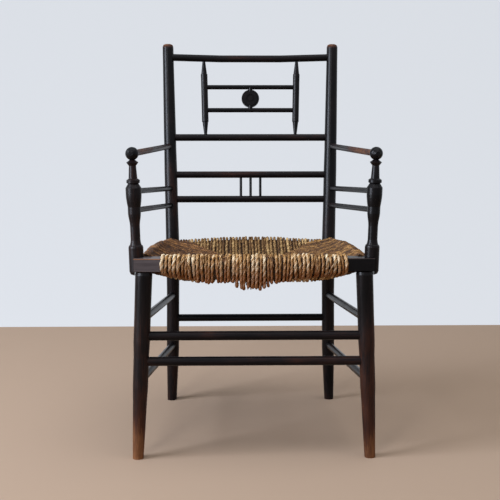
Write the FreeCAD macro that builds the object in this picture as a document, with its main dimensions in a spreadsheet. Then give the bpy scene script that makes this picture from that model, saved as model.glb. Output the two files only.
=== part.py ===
import FreeCAD, Part
import os
from collections import namedtuple

import Sketcher

# Turned armchair with a rush seat, in millimetres.
# The chair stands on z = 0 and faces -Y. Left and right are as seen from the front.
# The origin lies on the floor under the middle of the whole chair.

doc = FreeCAD.newDocument("RushSeatArmchair")

DRIVING_SIZES = {
    # back posts, bent backwards above the seat
    "post_height": 860.0,
    "post_foot_half": 193.1,
    "post_seat_half": 186.4,
    "post_top_half": 196.1,
    "post_bend_z": 390.0,
    "post_setback": 388.0,
    "post_foot_kick": 12.0,
    "post_rake": 67.0,
    "post_foot_dia": 22.5,
    "post_seat_dia": 31.5,
    "post_top_dia": 25.5,
    "post_cap_round": 7.0,
    # front legs, splayed to the sides
    "leg_top_inset": 18.9,
    "leg_splay": 18.05,
    "leg_foot_dia": 22.2,
    "leg_top_dia": 34.5,
    "leg_neck_dia": 26.5,
    "leg_neck_height": 8.0,
    "leg_tenon_dia": 16.0,
    "leg_tenon_depth": 18.0,
    # front seat rail: a slim core between two corner blocks
    "block_outer_half": 239.6,
    "block_length": 53.0,
    "block_depth": 34.0,
    "block_height": 26.5,
    "block_bottom_z": 391.0,
    "block_edge_chamfer": 1.3,
    # square seat rails, hidden in the rush
    "seat_rail_section": 22.0,
    "seat_rail_chamfer": 4.5,
    "seat_rail_tenon": 11.0,
    "seat_rail_post_depth": 9.5,
    "seat_rail_block_depth": 8.2,
    "seat_rail_shoulder_gap": 1.3,
    "side_rail_inset": 26.6,
    "side_rail_back_z": 387.0,
    "back_rail_z": 381.0,
    # rails of the back
    "crest_z": 828.5,
    "crest_sag": 4.0,
    "crest_dia": 16.5,
    "upper_rail_z": 639.6,
    "upper_rail_dia": 16.4,
    "upper_lumbar_z": 552.1,
    "lower_lumbar_z": 494.2,
    "lumbar_rail_dia": 15.8,
    "rail_tenon_depth": 15.0,
    # open frame between the crest rail and the upper rail
    "frame_top_half": 110.9,
    "frame_bottom_half": 106.6,
    "frame_spindle_dia": 15.8,
    "frame_neck_dia": 7.2,
    "frame_neck_taper": 28.0,
    "frame_point_dia": 13.6,
    "frame_tenon_depth": 6.5,
    "frame_rod_upper_z": 758.1,
    "frame_rod_lower_z": 704.0,
    "frame_rod_dia": 10.6,
    "frame_rod_tenon_depth": 8.0,
    # roundel held between the two rods
    "roundel_dia": 41.8,
    "roundel_rim_thickness": 9.0,
    "roundel_face_relief": 2.4,
    "roundel_outer_ring_dia": 33.0,
    "roundel_inner_ring_dia": 20.0,
    "roundel_boss_dia": 11.0,
    "roundel_neck_dia": 10.4,
    "roundel_tenon_depth": 4.0,
    # three sticks between the lumbar rails
    "stick_dia": 6.2,
    "stick_pitch": 23.1,
    "stick_tenon_depth": 5.5,
    # arms, each turned with a ball at the front
    "arm_setback": 8.0,
    "arm_ball_outset": 1.5,
    "arm_ball_z": 623.7,
    "arm_ball_dia": 26.4,
    "arm_dia": 12.9,
    "arm_back_z": 619.5,
    "arm_tenon_depth": 14.0,
    "arm_button_dia": 12.6,
    "arm_button_height": 1.8,
    # arm supports, heights above the floor
    "support_foot_inset": 4.3,
    "support_foot_z": 381.0,
    "support_foot_dia": 29.6,
    "support_foot_round": 8.0,
    "support_ring_z": 437.0,
    "support_ring_round": 5.0,
    "support_waist_dia": 19.5,
    "support_waist_low_z": 452.0,
    "support_waist_top_z": 480.0,
    "support_belly_dia": 31.2,
    "support_lower_belly_dia": 25.6,
    "support_vase_neck_dia": 20.8,
    "support_vase_neck_z": 564.6,
    "support_collar_dia": 26.6,
    "support_collar_low_z": 566.4,
    "support_collar_top_z": 571.6,
    "support_column_low_dia": 17.4,
    "support_column_low_z": 574.6,
    "support_column_top_dia": 14.2,
    "support_column_top_z": 599.8,
    "support_button_dia": 24.2,
    "support_button_z": 606.4,
    "support_pin_dia": 10.4,
    "support_pin_low_z": 611.6,
    "support_pin_depth": 10.0,
    # flat loose tenon that holds each support to its corner block
    "key_width": 14.0,
    "key_height": 10.0,
    "key_block_depth": 9.0,
    "key_support_depth": 8.0,
    # spindles under the arms
    "arm_spindle_dia": 11.8,
    "arm_spindle_tenon_depth": 11.0,
    "arm_spindle_upper_front_z": 549.4,
    "arm_spindle_upper_back_z": 519.8,
    "arm_spindle_lower_front_z": 511.5,
    "arm_spindle_lower_back_z": 480.3,
    # stretchers
    "front_stretcher_dia": 18.8,
    "front_stretcher_upper_z": 257.5,
    "front_stretcher_lower_z": 204.6,
    "back_stretcher_dia": 17.2,
    "back_stretcher_z": 206.3,
    "side_stretcher_dia": 16.2,
    "side_stretcher_upper_front_z": 291.0,
    "side_stretcher_upper_back_z": 263.0,
    "side_stretcher_lower_front_z": 164.0,
    "side_stretcher_lower_back_z": 138.0,
    "stretcher_tenon_depth": 16.0,
    # rush seat: rolls over the rails and four sloping fields that meet in the middle
    "rush_over_rail": 9.0,
    "rush_rim_drop": 1.5,
    "rush_centre_top_z": 372.0,
    "rush_ring_low_z": 353.0,
    "rush_centre_low_z": 340.0,
    # fits
    "joint_fit": 0.1,
    "tenon_end_gap": 0.6,
    "rush_fit": 0.3,
    "rush_post_fit": 0.9,
    "cut_overrun": 9.0,
    "stretch_margin": 2.0,
}

sheet = doc.addObject("Spreadsheet::Sheet", "Sizes")
for row, (alias, number) in enumerate(DRIVING_SIZES.items(), start=1):
    sheet.set("A%d" % row, alias)
    sheet.set("B%d" % row, str(number))
    sheet.setAlias("B%d" % row, alias)
doc.recompute()


class Length:
    """A number worked out from the sheet, with the expression that gives it there."""

    def __init__(self, number, text):
        self.number = float(number)
        self.text = text

    def joined(self, sign, other, number):
        return Length(number, "(%s %s %s)" % (self.text, sign, other.text))

    def __add__(self, other):
        other = as_length(other)
        return self.joined("+", other, self.number + other.number)

    def __sub__(self, other):
        other = as_length(other)
        return self.joined("-", other, self.number - other.number)

    def __mul__(self, other):
        other = as_length(other)
        return self.joined("*", other, self.number * other.number)

    def __truediv__(self, other):
        other = as_length(other)
        return self.joined("/", other, self.number / other.number)

    def __pow__(self, other):
        other = as_length(other)
        return self.joined("^", other, self.number ** other.number)

    def __rmul__(self, other):
        return as_length(other) * self

    def __neg__(self):
        return Length(-self.number, "(0 - %s)" % self.text)

    def root(self):
        return Length(self.number ** 0.5, "sqrt(%s)" % self.text)


def as_length(value):
    return value if isinstance(value, Length) else Length(value, repr(float(value)))


class Sizes:
    """Each driving size of the sheet as an attribute."""

    def __getattr__(self, alias):
        return Length(DRIVING_SIZES[alias], "Sizes." + alias)


size = Sizes()
ZERO = as_length(0)
SIDES = (("left", -1), ("right", 1))

Spot = namedtuple("Spot", "x y z")
# face and tip are measured from the spot, along the piece that is let in there
Seat = namedtuple("Seat", "piece spot face tip")
Bow = namedtuple("Bow", "across along")


def vector(spot):
    return FreeCAD.Vector(spot.x.number, spot.y.number, spot.z.number)


def span(start, end):
    return ((end.x - start.x) ** 2 + (end.y - start.y) ** 2 + (end.z - start.z) ** 2).root()


def direction(start, end):
    return (vector(end) - vector(start)).normalize()


def bind(item, **sizes):
    """Binds an object's own properties to the sheet."""
    for name, length in sizes.items():
        setattr(item, name, length.number)
        item.setExpression(name, length.text)


def own_plane(body, role):
    return next(item for item in body.Origin.OriginFeatures if item.Role == role)


def flat_sketch(body, name, role, across=ZERO, along=ZERO, away=ZERO):
    """A sketch on one of the body's own planes, moved over it and away from it."""
    sketch = body.newObject("Sketcher::SketchObject", name)
    sketch.AttachmentSupport = [(own_plane(body, role), "")]
    sketch.MapMode = "FlatFace"
    for axis, length in (("x", across), ("y", along), ("z", away)):
        sketch.setExpression("AttachmentOffset.Base." + axis, length.text)
    return sketch


def pinned(sketch, pins):
    """Adds the constraints of a sketch and binds those that carry a length."""
    first = sketch.ConstraintCount
    sketch.addConstraint([constraint for constraint, length in pins])
    for index, (constraint, length) in enumerate(pins, start=first):
        if length is not None:
            sketch.setExpression("Constraints[%d]" % index, length.text)


def pin_point(geo, end, across, along):
    pins = []
    for kind, axis, length in (("DistanceX", -2, across), ("DistanceY", -1, along)):
        if length.number == 0:
            pins.append((Sketcher.Constraint("PointOnObject", geo, end, axis), None))
        else:
            pins.append((Sketcher.Constraint(kind, -1, 1, geo, end, length.number), length))
    return pins


def draw_outline(sketch, steps):
    """Closed outline through corners (across, along); a Bow between two corners makes an arc."""
    corners = [index for index, step in enumerate(steps) if not isinstance(step, Bow)]
    edges = []
    pins = []
    for place, index in enumerate(corners):
        start = steps[index]
        end = steps[corners[(place + 1) % len(corners)]]
        after = steps[(index + 1) % len(steps)]
        a = FreeCAD.Vector(start[0].number, start[1].number, 0)
        b = FreeCAD.Vector(end[0].number, end[1].number, 0)
        if isinstance(after, Bow):
            mid = FreeCAD.Vector(after.across.number, after.along.number, 0)
            anticlockwise = (mid - a).cross(b - a).z > 0
            arc = Part.Arc(a, mid, b) if anticlockwise else Part.Arc(b, mid, a)
            geo = sketch.addGeometry(arc)
            edges.append((geo, 1, 2) if anticlockwise else (geo, 2, 1))
            dot = sketch.addGeometry(Part.Point(mid), True)
            pins += pin_point(dot, 1, after.across, after.along)
            pins.append((Sketcher.Constraint("PointOnObject", dot, 1, geo), None))
        else:
            edges.append((sketch.addGeometry(Part.LineSegment(a, b)), 1, 2))
        pins += pin_point(edges[-1][0], edges[-1][1], start[0], start[1])
    for edge, following in zip(edges, edges[1:] + edges[:1]):
        pins.append((Sketcher.Constraint("Coincident", edge[0], edge[2], following[0], following[1]), None))
    pinned(sketch, pins)


def draw_circle(sketch, radius):
    circle = Part.Circle(FreeCAD.Vector(0, 0, 0), FreeCAD.Vector(0, 0, 1), radius.number)
    geo = sketch.addGeometry(circle)
    pinned(
        sketch,
        [
            (Sketcher.Constraint("Coincident", geo, 3, -1, 1), None),
            (Sketcher.Constraint("Radius", geo, radius.number), radius),
        ],
    )


def draw_rectangle(sketch, width, height):
    half_width = width / 2
    half_height = height / 2
    draw_outline(
        sketch,
        [
            (-half_width, -half_height),
            (half_width, -half_height),
            (half_width, half_height),
            (-half_width, half_height),
        ],
    )


def set_on_line(item, start, heading, along=ZERO):
    """Puts an item's own Z axis on a line, with its origin that far along it."""
    turn = FreeCAD.Rotation(FreeCAD.Vector(0, 0, 1), heading)
    item.Placement = FreeCAD.Placement(vector(start) + heading * along.number, turn)


mortises = {}
pieces = []


def bore(piece, spot, heading, begin, end, radius):
    """A round cutter in a piece, between two distances from a spot."""
    cutter = doc.addObject("Part::Cylinder", piece + "_bore")
    bind(cutter, Radius=radius, Height=end - begin)
    set_on_line(cutter, spot, heading, begin)
    mortises.setdefault(piece, []).append(cutter)


def plumb_turn(heading):
    """Turns Z to a heading and keeps the item's own X level."""
    sideways = FreeCAD.Vector(0, 0, 1).cross(heading)
    return FreeCAD.Rotation(sideways, heading.cross(sideways), heading, "ZXY")


def square_bore(piece, spot, heading, begin, end, section):
    """A square cutter in a piece, centred on a line, between two distances from a spot."""
    cutter = doc.addObject("Part::Box", piece + "_square_bore")
    bind(cutter, Length=section, Width=section, Height=end - begin)
    turn = plumb_turn(heading)
    half = section.number / 2
    base = vector(spot) + heading * begin.number - turn.multVec(FreeCAD.Vector(half, half, 0))
    cutter.Placement = FreeCAD.Placement(base, turn)
    mortises.setdefault(piece, []).append(cutter)


def box_cutter(piece, corner, length, width, height):
    cutter = doc.addObject("Part::Box", piece + "_trim")
    bind(cutter, Length=length, Width=width, Height=height)
    cutter.Placement.Base = vector(corner)
    mortises.setdefault(piece, []).append(cutter)


def mortise(seat, heading, radius):
    """A blind round hole for the end of a piece, with a little room about it."""
    begin = seat.tip - size.tenon_end_gap
    end = seat.face + size.cut_overrun
    bore(seat.piece, seat.spot, heading, begin, end, radius + size.joint_fit)


def round_seat(piece, spot, carrier_radius, depth):
    """Where a piece is let into a round one, to a depth below its surface."""
    return Seat(piece, spot, carrier_radius, carrier_radius - depth)


def rung(name, start, end, dia):
    """A plain turned stick, let in whole at both ends."""
    heading = direction(start.spot, end.spot)
    stick = doc.addObject("Part::Cylinder", name + "_blank")
    bind(stick, Radius=dia / 2, Height=span(start.spot, end.spot) - start.tip - end.tip)
    set_on_line(stick, start.spot, heading, start.tip)
    mortise(start, heading, dia / 2)
    mortise(end, -heading, dia / 2)
    pieces.append((name, stick))


def add_turning(body, name, rings):
    """Straight-sided loft through circles on a leaning or bent axis.

    Each ring is a centre, a radius and the heading that the circle is square to; level if it has none.
    Where pieces are let in, two like rings bound a true cylinder.
    """
    sketches = []
    for number, (spot, radius, heading) in enumerate(rings):
        sketch = flat_sketch(body, "%s_ring_%d" % (name, number), "XY_Plane", spot.x, spot.y, spot.z)
        if heading:
            turn = FreeCAD.Rotation(FreeCAD.Vector(0, 0, 1), heading)
            sketch.AttachmentOffset = FreeCAD.Placement(vector(spot), turn)
        draw_circle(sketch, radius)
        sketches.append(sketch)
    loft = body.newObject("PartDesign::AdditiveLoft", name)
    loft.Ruled = True
    loft.Profile = sketches[0]
    loft.Sections = sketches[1:]
    body.Tip = loft


def band(low, high, radius):
    """Two like rings, square to the line between their centres."""
    heading = direction(low, high)
    return [(low, radius, heading), (high, radius, heading)]


# Where things stand. The legs' line is set back from the middle by half of what the chair
# reaches behind it, less half of what it reaches before it.
rush_roll_radius = size.seat_rail_section / 2 + size.rush_over_rail
rear_reach = size.post_setback + size.post_rake + size.post_top_dia / 2
leg_line = (rush_roll_radius - rear_reach) / 2
post_line = leg_line + size.post_setback
arm_line = leg_line + size.arm_setback
block_top_z = size.block_bottom_z + size.block_height
block_mid_z = size.block_bottom_z + size.block_height / 2
block_inner_half = size.block_outer_half - size.block_length
leg_top_half = size.block_outer_half - size.leg_top_inset
leg_foot_half = leg_top_half + size.leg_splay
side_rail_front_half = size.block_outer_half - size.side_rail_inset
support_foot_half = size.block_outer_half - size.support_foot_inset
arm_ball_half = size.block_outer_half + size.arm_ball_outset

# Laws of the posts' bend and of the turners' tapers: a share of the height, raised to one of these.
POST_FOOT_CURVE = 2.0
POST_RAKE_CURVE = 1.25
POST_FOOT_TAPER_CURVE = 2.5
POST_TOP_TAPER_CURVE = 1.2
LEG_TAPER_CURVE = 2.0

# Half way round a quarter circle, measured in from its corner
QUARTER_ROUND_SHARE = 0.293


def post_seat(side, z):
    """Centre and radius of a back post at a height."""
    if z.number <= size.post_bend_z.number:
        share = (size.post_bend_z - z) / size.post_bend_z
        kick = size.post_foot_half - size.post_seat_half
        x = size.post_seat_half + kick * share ** POST_FOOT_CURVE
        y = post_line + size.post_foot_kick * share
        thinning = size.post_seat_dia - size.post_foot_dia
        dia = size.post_seat_dia - thinning * share ** POST_FOOT_TAPER_CURVE
    else:
        share = (z - size.post_bend_z) / (size.post_height - size.post_bend_z)
        x = size.post_seat_half + (size.post_top_half - size.post_seat_half) * share
        y = post_line + size.post_rake * share ** POST_RAKE_CURVE
        thinning = size.post_seat_dia - size.post_top_dia
        dia = size.post_seat_dia - thinning * share ** POST_TOP_TAPER_CURVE
    return Spot(x * side, y, z), dia / 2


def leg_seat(side, z):
    """Centre and radius of a front leg at a height."""
    x = leg_foot_half - size.leg_splay * (z / size.block_bottom_z)
    share = (size.block_bottom_z - z) / size.block_bottom_z
    dia = size.leg_top_dia - (size.leg_top_dia - size.leg_foot_dia) * share ** LEG_TAPER_CURVE
    return Spot(x * side, leg_line, z), dia / 2


def support_spot(side, z):
    """Centre of an arm support at a height, on the line from its foot to the arm's ball."""
    share = (z - size.support_foot_z) / (size.arm_ball_z - size.support_foot_z)
    x = support_foot_half + (arm_ball_half - support_foot_half) * share
    return Spot(x * side, arm_line, z)


# Back posts

# The underside of the lowest joint and the top of the highest one in each straight stretch of a post
POST_STRETCHES = (
    (
        size.side_stretcher_lower_back_z - size.side_stretcher_dia / 2,
        size.side_stretcher_upper_back_z + size.side_stretcher_dia / 2,
    ),
    (
        size.back_rail_z - size.seat_rail_section / 2,
        size.side_rail_back_z + size.seat_rail_section / 2,
    ),
    (
        size.arm_spindle_lower_back_z - size.arm_spindle_dia / 2,
        size.upper_lumbar_z + size.lumbar_rail_dia / 2,
    ),
    (size.arm_back_z - size.arm_dia / 2, size.upper_rail_z + size.upper_rail_dia / 2),
    (size.crest_z - size.crest_dia / 2, size.crest_z + size.crest_dia / 2),
)


def make_post(name, side):
    """Bent back above the seat, thinner to both ends, with a rounded top."""
    spot, radius = post_seat(side, ZERO)
    rings = [(spot, radius, None)]
    for joint_low_z, joint_top_z in POST_STRETCHES:
        low_z = joint_low_z - size.stretch_margin
        high_z = joint_top_z + size.stretch_margin
        low = post_seat(side, low_z)[0]
        high = post_seat(side, high_z)[0]
        rings += band(low, high, post_seat(side, (low_z + high_z) / 2)[1])
    cap = size.post_cap_round
    spot, radius = post_seat(side, size.post_height - cap)
    rings.append((spot, radius, None))
    spot = post_seat(side, size.post_height - cap * QUARTER_ROUND_SHARE)[0]
    rings.append((spot, radius - cap * QUARTER_ROUND_SHARE, None))
    rings.append((post_seat(side, size.post_height)[0], radius - cap, None))
    body = doc.addObject("PartDesign::Body", name + "_blank")
    add_turning(body, name + "_bend", rings)
    pieces.append((name, body))


for side_name, side in SIDES:
    make_post("back_post_" + side_name, side)


# Front legs

# How the tapers are stepped: shares of their height
LOW_TAPER_SHARES = (0.2, 0.4, 0.6, 0.8)
HIGH_TAPER_SHARES = (0.5,)

# Heights of the lowest and highest joint of each straight stretch, with the taper below it
LEG_STRETCHES = (
    (size.side_stretcher_lower_front_z, size.front_stretcher_lower_z, LOW_TAPER_SHARES),
    (size.front_stretcher_upper_z, size.side_stretcher_upper_front_z, HIGH_TAPER_SHARES),
)


def make_leg(name, side):
    """Splayed and tapered, with a rounded shoulder and a tenon up into the corner block."""
    foot, foot_radius = leg_seat(side, ZERO)
    rings = [(foot, foot_radius, None)]
    reach = size.front_stretcher_dia / 2 + size.stretch_margin
    last_z = ZERO
    for joint_low_z, joint_top_z, step_shares in LEG_STRETCHES:
        low_z = joint_low_z - reach
        high_z = joint_top_z + reach
        for share in step_shares:
            rings.append((*leg_seat(side, last_z + (low_z - last_z) * share), None))
        radius = leg_seat(side, (joint_low_z + joint_top_z) / 2)[1]
        rings += band(leg_seat(side, low_z)[0], leg_seat(side, high_z)[0], radius)
        last_z = high_z
    shoulder, radius = leg_seat(side, size.block_bottom_z - size.leg_neck_height)
    round_spot = leg_seat(side, size.block_bottom_z - size.leg_neck_height * QUARTER_ROUND_SHARE)[0]
    neck = leg_seat(side, size.block_bottom_z)[0]
    neck_radius = size.leg_neck_dia / 2
    rings += [
        (shoulder, radius, None),
        (round_spot, radius - (radius - neck_radius) * QUARTER_ROUND_SHARE, None),
        (neck, neck_radius, None),
    ]
    body = doc.addObject("PartDesign::Body", name + "_blank")
    add_turning(body, name + "_taper", rings)
    tenon_radius = size.leg_tenon_dia / 2
    tenon_top = leg_seat(side, size.block_bottom_z + size.leg_tenon_depth)[0]
    add_turning(body, name + "_tenon", band(round_spot, tenon_top, tenon_radius))
    seat = Seat("front_seat_rail", tenon_top, span(neck, tenon_top), ZERO)
    mortise(seat, direction(tenon_top, neck), tenon_radius)
    pieces.append((name, body))


for side_name, side in SIDES:
    make_leg("front_leg_" + side_name, side)


# Front seat rail

def edge_names(shape, wanted):
    return ["Edge%d" % (index + 1) for index, edge in enumerate(shape.Edges) if wanted(edge)]


def make_front_rail():
    """One stick: an eased core that the rush covers, and a square block at each end."""
    name = "front_seat_rail"
    body = doc.addObject("PartDesign::Body", name + "_blank")
    core_sketch = flat_sketch(body, "core_section", "YZ_Plane")
    draw_rectangle(core_sketch, size.seat_rail_section, size.seat_rail_section)
    core = body.newObject("PartDesign::Pad", "core")
    core.Profile = core_sketch
    core.Midplane = True
    bind(core, Length=block_inner_half * 2 + size.block_length)
    doc.recompute()
    core_easing = body.newObject("PartDesign::Chamfer", "core_easing")
    long_edge = block_inner_half.number
    core_easing.Base = (core, edge_names(core.Shape, lambda edge: edge.BoundBox.XLength > long_edge))
    bind(core_easing, Size=size.seat_rail_chamfer)
    for side_name, side in SIDES:
        outer_face = size.block_outer_half * side
        sketch = flat_sketch(body, "block_section_" + side_name, "YZ_Plane", away=outer_face)
        draw_rectangle(sketch, size.block_depth, size.block_height)
        block = body.newObject("PartDesign::Pad", "block_" + side_name)
        block.Profile = sketch
        block.Reversed = side > 0
        bind(block, Length=size.block_length)
    doc.recompute()
    half_block = size.block_length.number / 2

    def runs_along_block(edge):
        box = edge.BoundBox
        outside = abs(box.Center.x) > block_inner_half.number
        return outside and box.XLength > half_block

    block_easing = body.newObject("PartDesign::Chamfer", "block_easing")
    block_easing.Base = (block, edge_names(block.Shape, runs_along_block))
    bind(block_easing, Size=size.block_edge_chamfer)
    body.Tip = block_easing
    body.Placement.Base = vector(Spot(ZERO, leg_line, block_mid_z))
    pieces.append((name, body))


make_front_rail()


# Seat rails at the sides and the back

def square_rail(name, start, end):
    """A square stick with eased edges, shouldered down to a square tenon at each end."""
    heading = direction(start.spot, end.spot)
    total = span(start.spot, end.spot) - start.tip - end.tip
    shoulder = start.face - start.tip
    length = span(start.spot, end.spot) - start.face - end.face
    body = doc.addObject("PartDesign::Body", name + "_blank")
    sketch = flat_sketch(body, name + "_section", "XY_Plane", away=shoulder)
    draw_rectangle(sketch, size.seat_rail_section, size.seat_rail_section)
    stick = body.newObject("PartDesign::Pad", name + "_stick")
    stick.Profile = sketch
    bind(stick, Length=length)
    doc.recompute()
    easing = body.newObject("PartDesign::Chamfer", name + "_easing")
    long_edge = length.number / 2
    easing.Base = (stick, edge_names(stick.Shape, lambda edge: edge.BoundBox.DiagonalLength > long_edge))
    bind(easing, Size=size.seat_rail_chamfer)
    tenon_sketch = flat_sketch(body, name + "_tenon_section", "XY_Plane")
    draw_rectangle(tenon_sketch, size.seat_rail_tenon, size.seat_rail_tenon)
    tenons = body.newObject("PartDesign::Pad", name + "_tenons")
    tenons.Profile = tenon_sketch
    bind(tenons, Length=total)
    body.Tip = tenons
    body.Placement = FreeCAD.Placement(vector(start.spot) + heading * start.tip.number, plumb_turn(heading))
    hole = size.seat_rail_tenon + size.joint_fit * 2
    for seat, inwards in ((start, heading), (end, -heading)):
        begin = seat.tip - size.tenon_end_gap
        square_bore(seat.piece, seat.spot, inwards, begin, seat.face + size.cut_overrun, hole)
    pieces.append((name, body))


def rail_seat(post, side, z):
    """Where a square rail's tenon goes into a back post; its shoulder stops just short of the post."""
    spot, radius = post_seat(side, z)
    return Seat(post, spot, radius + size.seat_rail_shoulder_gap, radius - size.seat_rail_post_depth)


def side_rail_line(side):
    """The axis of a side seat rail: a spot in the corner block's back face and one in the post."""
    front = Spot(side_rail_front_half * side, leg_line + size.block_depth / 2, block_mid_z)
    return front, post_seat(side, size.side_rail_back_z)[0]


back_seats = []
for side_name, side in SIDES:
    front = side_rail_line(side)[0]
    post = "back_post_" + side_name
    square_rail(
        "side_seat_rail_" + side_name,
        Seat("front_seat_rail", front, size.seat_rail_shoulder_gap, -size.seat_rail_block_depth),
        rail_seat(post, side, size.side_rail_back_z),
    )
    back_seats.append(rail_seat(post, side, size.back_rail_z))
square_rail("back_seat_rail", back_seats[0], back_seats[1])


# Round rails across the back, and stretchers between the legs

def cross_rail(name, upright, seat_at, z, dia, depth):
    """A rung between the two uprights of a name, at one height."""
    seats = []
    for side_name, side in SIDES:
        spot, radius = seat_at(side, z)
        seats.append(round_seat(upright + side_name, spot, radius, depth))
    rung(name, seats[0], seats[1], dia)


lumbar_dia = size.lumbar_rail_dia
depth = size.rail_tenon_depth
cross_rail("upper_back_rail", "back_post_", post_seat, size.upper_rail_z, size.upper_rail_dia, depth)
cross_rail("upper_lumbar_rail", "back_post_", post_seat, size.upper_lumbar_z, lumbar_dia, depth)
cross_rail("lower_lumbar_rail", "back_post_", post_seat, size.lower_lumbar_z, lumbar_dia, depth)

front_dia = size.front_stretcher_dia
depth = size.stretcher_tenon_depth
cross_rail("back_stretcher", "back_post_", post_seat, size.back_stretcher_z, size.back_stretcher_dia, depth)
cross_rail("front_stretcher_upper", "front_leg_", leg_seat, size.front_stretcher_upper_z, front_dia, depth)
cross_rail("front_stretcher_lower", "front_leg_", leg_seat, size.front_stretcher_lower_z, front_dia, depth)


# Crest rail

CREST_BEND_SHARE = 0.36


def crest_spot(x):
    """The crest rail's centre at a distance from the middle: it hangs a little between the posts."""
    post_top = post_seat(1, size.crest_z)[0]
    drop = size.crest_sag - size.crest_sag * (x / post_top.x) ** 2
    return Spot(x, post_top.y, size.crest_z - drop)


def make_crest_rail():
    """Two straight ends and a straight middle, bent a little where they meet."""
    name = "crest_rail"
    post_top, post_radius = post_seat(1, size.crest_z)
    tip_half = post_top.x - post_radius + size.rail_tenon_depth
    bend_half = tip_half * CREST_BEND_SHARE
    radius = size.crest_dia / 2
    rings = band(crest_spot(-tip_half), crest_spot(-bend_half), radius)
    rings += band(crest_spot(bend_half), crest_spot(tip_half), radius)
    body = doc.addObject("PartDesign::Body", name + "_blank")
    add_turning(body, name + "_bow", rings)
    for side_name, side in SIDES:
        tip = crest_spot(tip_half * side)
        inwards = direction(tip, crest_spot(bend_half * side))
        mortise(Seat("back_post_" + side_name, tip, post_radius * 2, ZERO), inwards, radius)
    pieces.append((name, body))


make_crest_rail()


# Open frame in the back: two spindles, two rods and a roundel

def frame_line(side):
    """The axis of a frame spindle, from the upper rail to the crest rail."""
    low = Spot(size.frame_bottom_half * side, post_seat(side, size.upper_rail_z)[0].y, size.upper_rail_z)
    return low, crest_spot(size.frame_top_half * side)


def frame_spot(side, z):
    low, top = frame_line(side)
    share = (z - low.z) / (top.z - low.z)
    return Spot(low.x + (top.x - low.x) * share, low.y + (top.y - low.y) * share, z)


def make_frame_spindle(name, side):
    """A thin neck that opens to a full body over a long taper, at both ends."""
    low, top = frame_line(side)
    neck = size.frame_neck_dia / 2
    edge = size.frame_point_dia / 2
    full = size.frame_spindle_dia / 2
    low_face_z = low.z + size.upper_rail_dia / 2
    top_face_z = top.z - size.crest_dia / 2
    low_taper_z = low_face_z + size.frame_neck_taper
    top_taper_z = top_face_z - size.frame_neck_taper
    step = full - edge
    heading = direction(low, top)
    rings = [
        (frame_spot(side, z), radius, heading)
        for z, radius in (
            (low_face_z - size.frame_tenon_depth, neck),
            (low_face_z, neck),
            (low_taper_z, edge),
            (low_taper_z + step, full),
            (top_taper_z - step, full),
            (top_taper_z, edge),
            (top_face_z, neck),
            (top_face_z + size.frame_tenon_depth, neck),
        )
    ]
    body = doc.addObject("PartDesign::Body", name + "_blank")
    add_turning(body, name + "_turning", rings)
    depth = size.frame_tenon_depth
    mortise(round_seat("upper_back_rail", low, size.upper_rail_dia / 2, depth), heading, neck)
    mortise(round_seat("crest_rail", top, size.crest_dia / 2, depth), -heading, neck)
    pieces.append((name, body))


for side_name, side in SIDES:
    make_frame_spindle("frame_spindle_" + side_name, side)

for place, rod_z in (("upper", size.frame_rod_upper_z), ("lower", size.frame_rod_lower_z)):
    seats = []
    for side_name, side in SIDES:
        spot = frame_spot(side, rod_z)
        spindle = "frame_spindle_" + side_name
        seats.append(round_seat(spindle, spot, size.frame_spindle_dia / 2, size.frame_rod_tenon_depth))
    rung("frame_rod_" + place, seats[0], seats[1], size.frame_rod_dia)


def make_roundel():
    """A turned disc with two rings and a boss on its face, necked into the rods."""
    name = "roundel"
    low = Spot(ZERO, frame_spot(1, size.frame_rod_lower_z).y, size.frame_rod_lower_z)
    top = Spot(ZERO, frame_spot(1, size.frame_rod_upper_z).y, size.frame_rod_upper_z)
    upwards = direction(low, top)
    facing = FreeCAD.Vector(0, -upwards.z, upwards.y)
    centre = Spot(ZERO, (low.y + top.y) / 2, (low.z + top.z) / 2)
    half_rim = size.roundel_rim_thickness / 2
    face = half_rim + size.roundel_face_relief
    rim = size.roundel_dia / 2
    outer = size.roundel_outer_ring_dia / 2
    inner = size.roundel_inner_ring_dia / 2
    boss = size.roundel_boss_dia / 2
    outline = [
        (ZERO, -half_rim),
        (rim, -half_rim),
        (rim, half_rim),
        (outer, half_rim),
        (outer, face),
        (inner, face),
        (inner, half_rim),
        (boss, half_rim),
        (boss, face),
        (ZERO, face),
    ]
    body = doc.addObject("PartDesign::Body", name + "_blank")
    sketch = flat_sketch(body, "roundel_outline", "XZ_Plane")
    draw_outline(sketch, outline)
    spin = body.newObject("PartDesign::Revolution", "roundel_turning")
    spin.Profile = sketch
    spin.ReferenceAxis = (sketch, ["V_Axis"])
    spin.Angle = 360
    neck_radius = size.roundel_neck_dia / 2
    half_gap = span(low, top) / 2
    rod_radius = size.frame_rod_dia / 2
    seats = [
        round_seat("frame_rod_lower", low, rod_radius, size.roundel_tenon_depth),
        round_seat("frame_rod_upper", top, rod_radius, size.roundel_tenon_depth),
    ]
    for seat, sign in zip(seats, (-1, 1)):
        reach = half_gap - seat.tip
        plane = flat_sketch(body, seat.piece + "_neck_section", "XZ_Plane", away=-reach * sign)
        draw_circle(plane, neck_radius)
        neck = body.newObject("PartDesign::Pad", seat.piece + "_neck")
        neck.Profile = plane
        neck.Reversed = sign < 0
        bind(neck, Length=reach - outer)
        mortise(seat, upwards * -sign, neck_radius)
    body.Tip = neck
    turn = FreeCAD.Rotation(FreeCAD.Vector(-1, 0, 0), upwards, facing, "ZYX")
    body.Placement = FreeCAD.Placement(vector(centre), turn)
    pieces.append((name, body))


make_roundel()


# Three sticks between the lumbar rails

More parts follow.
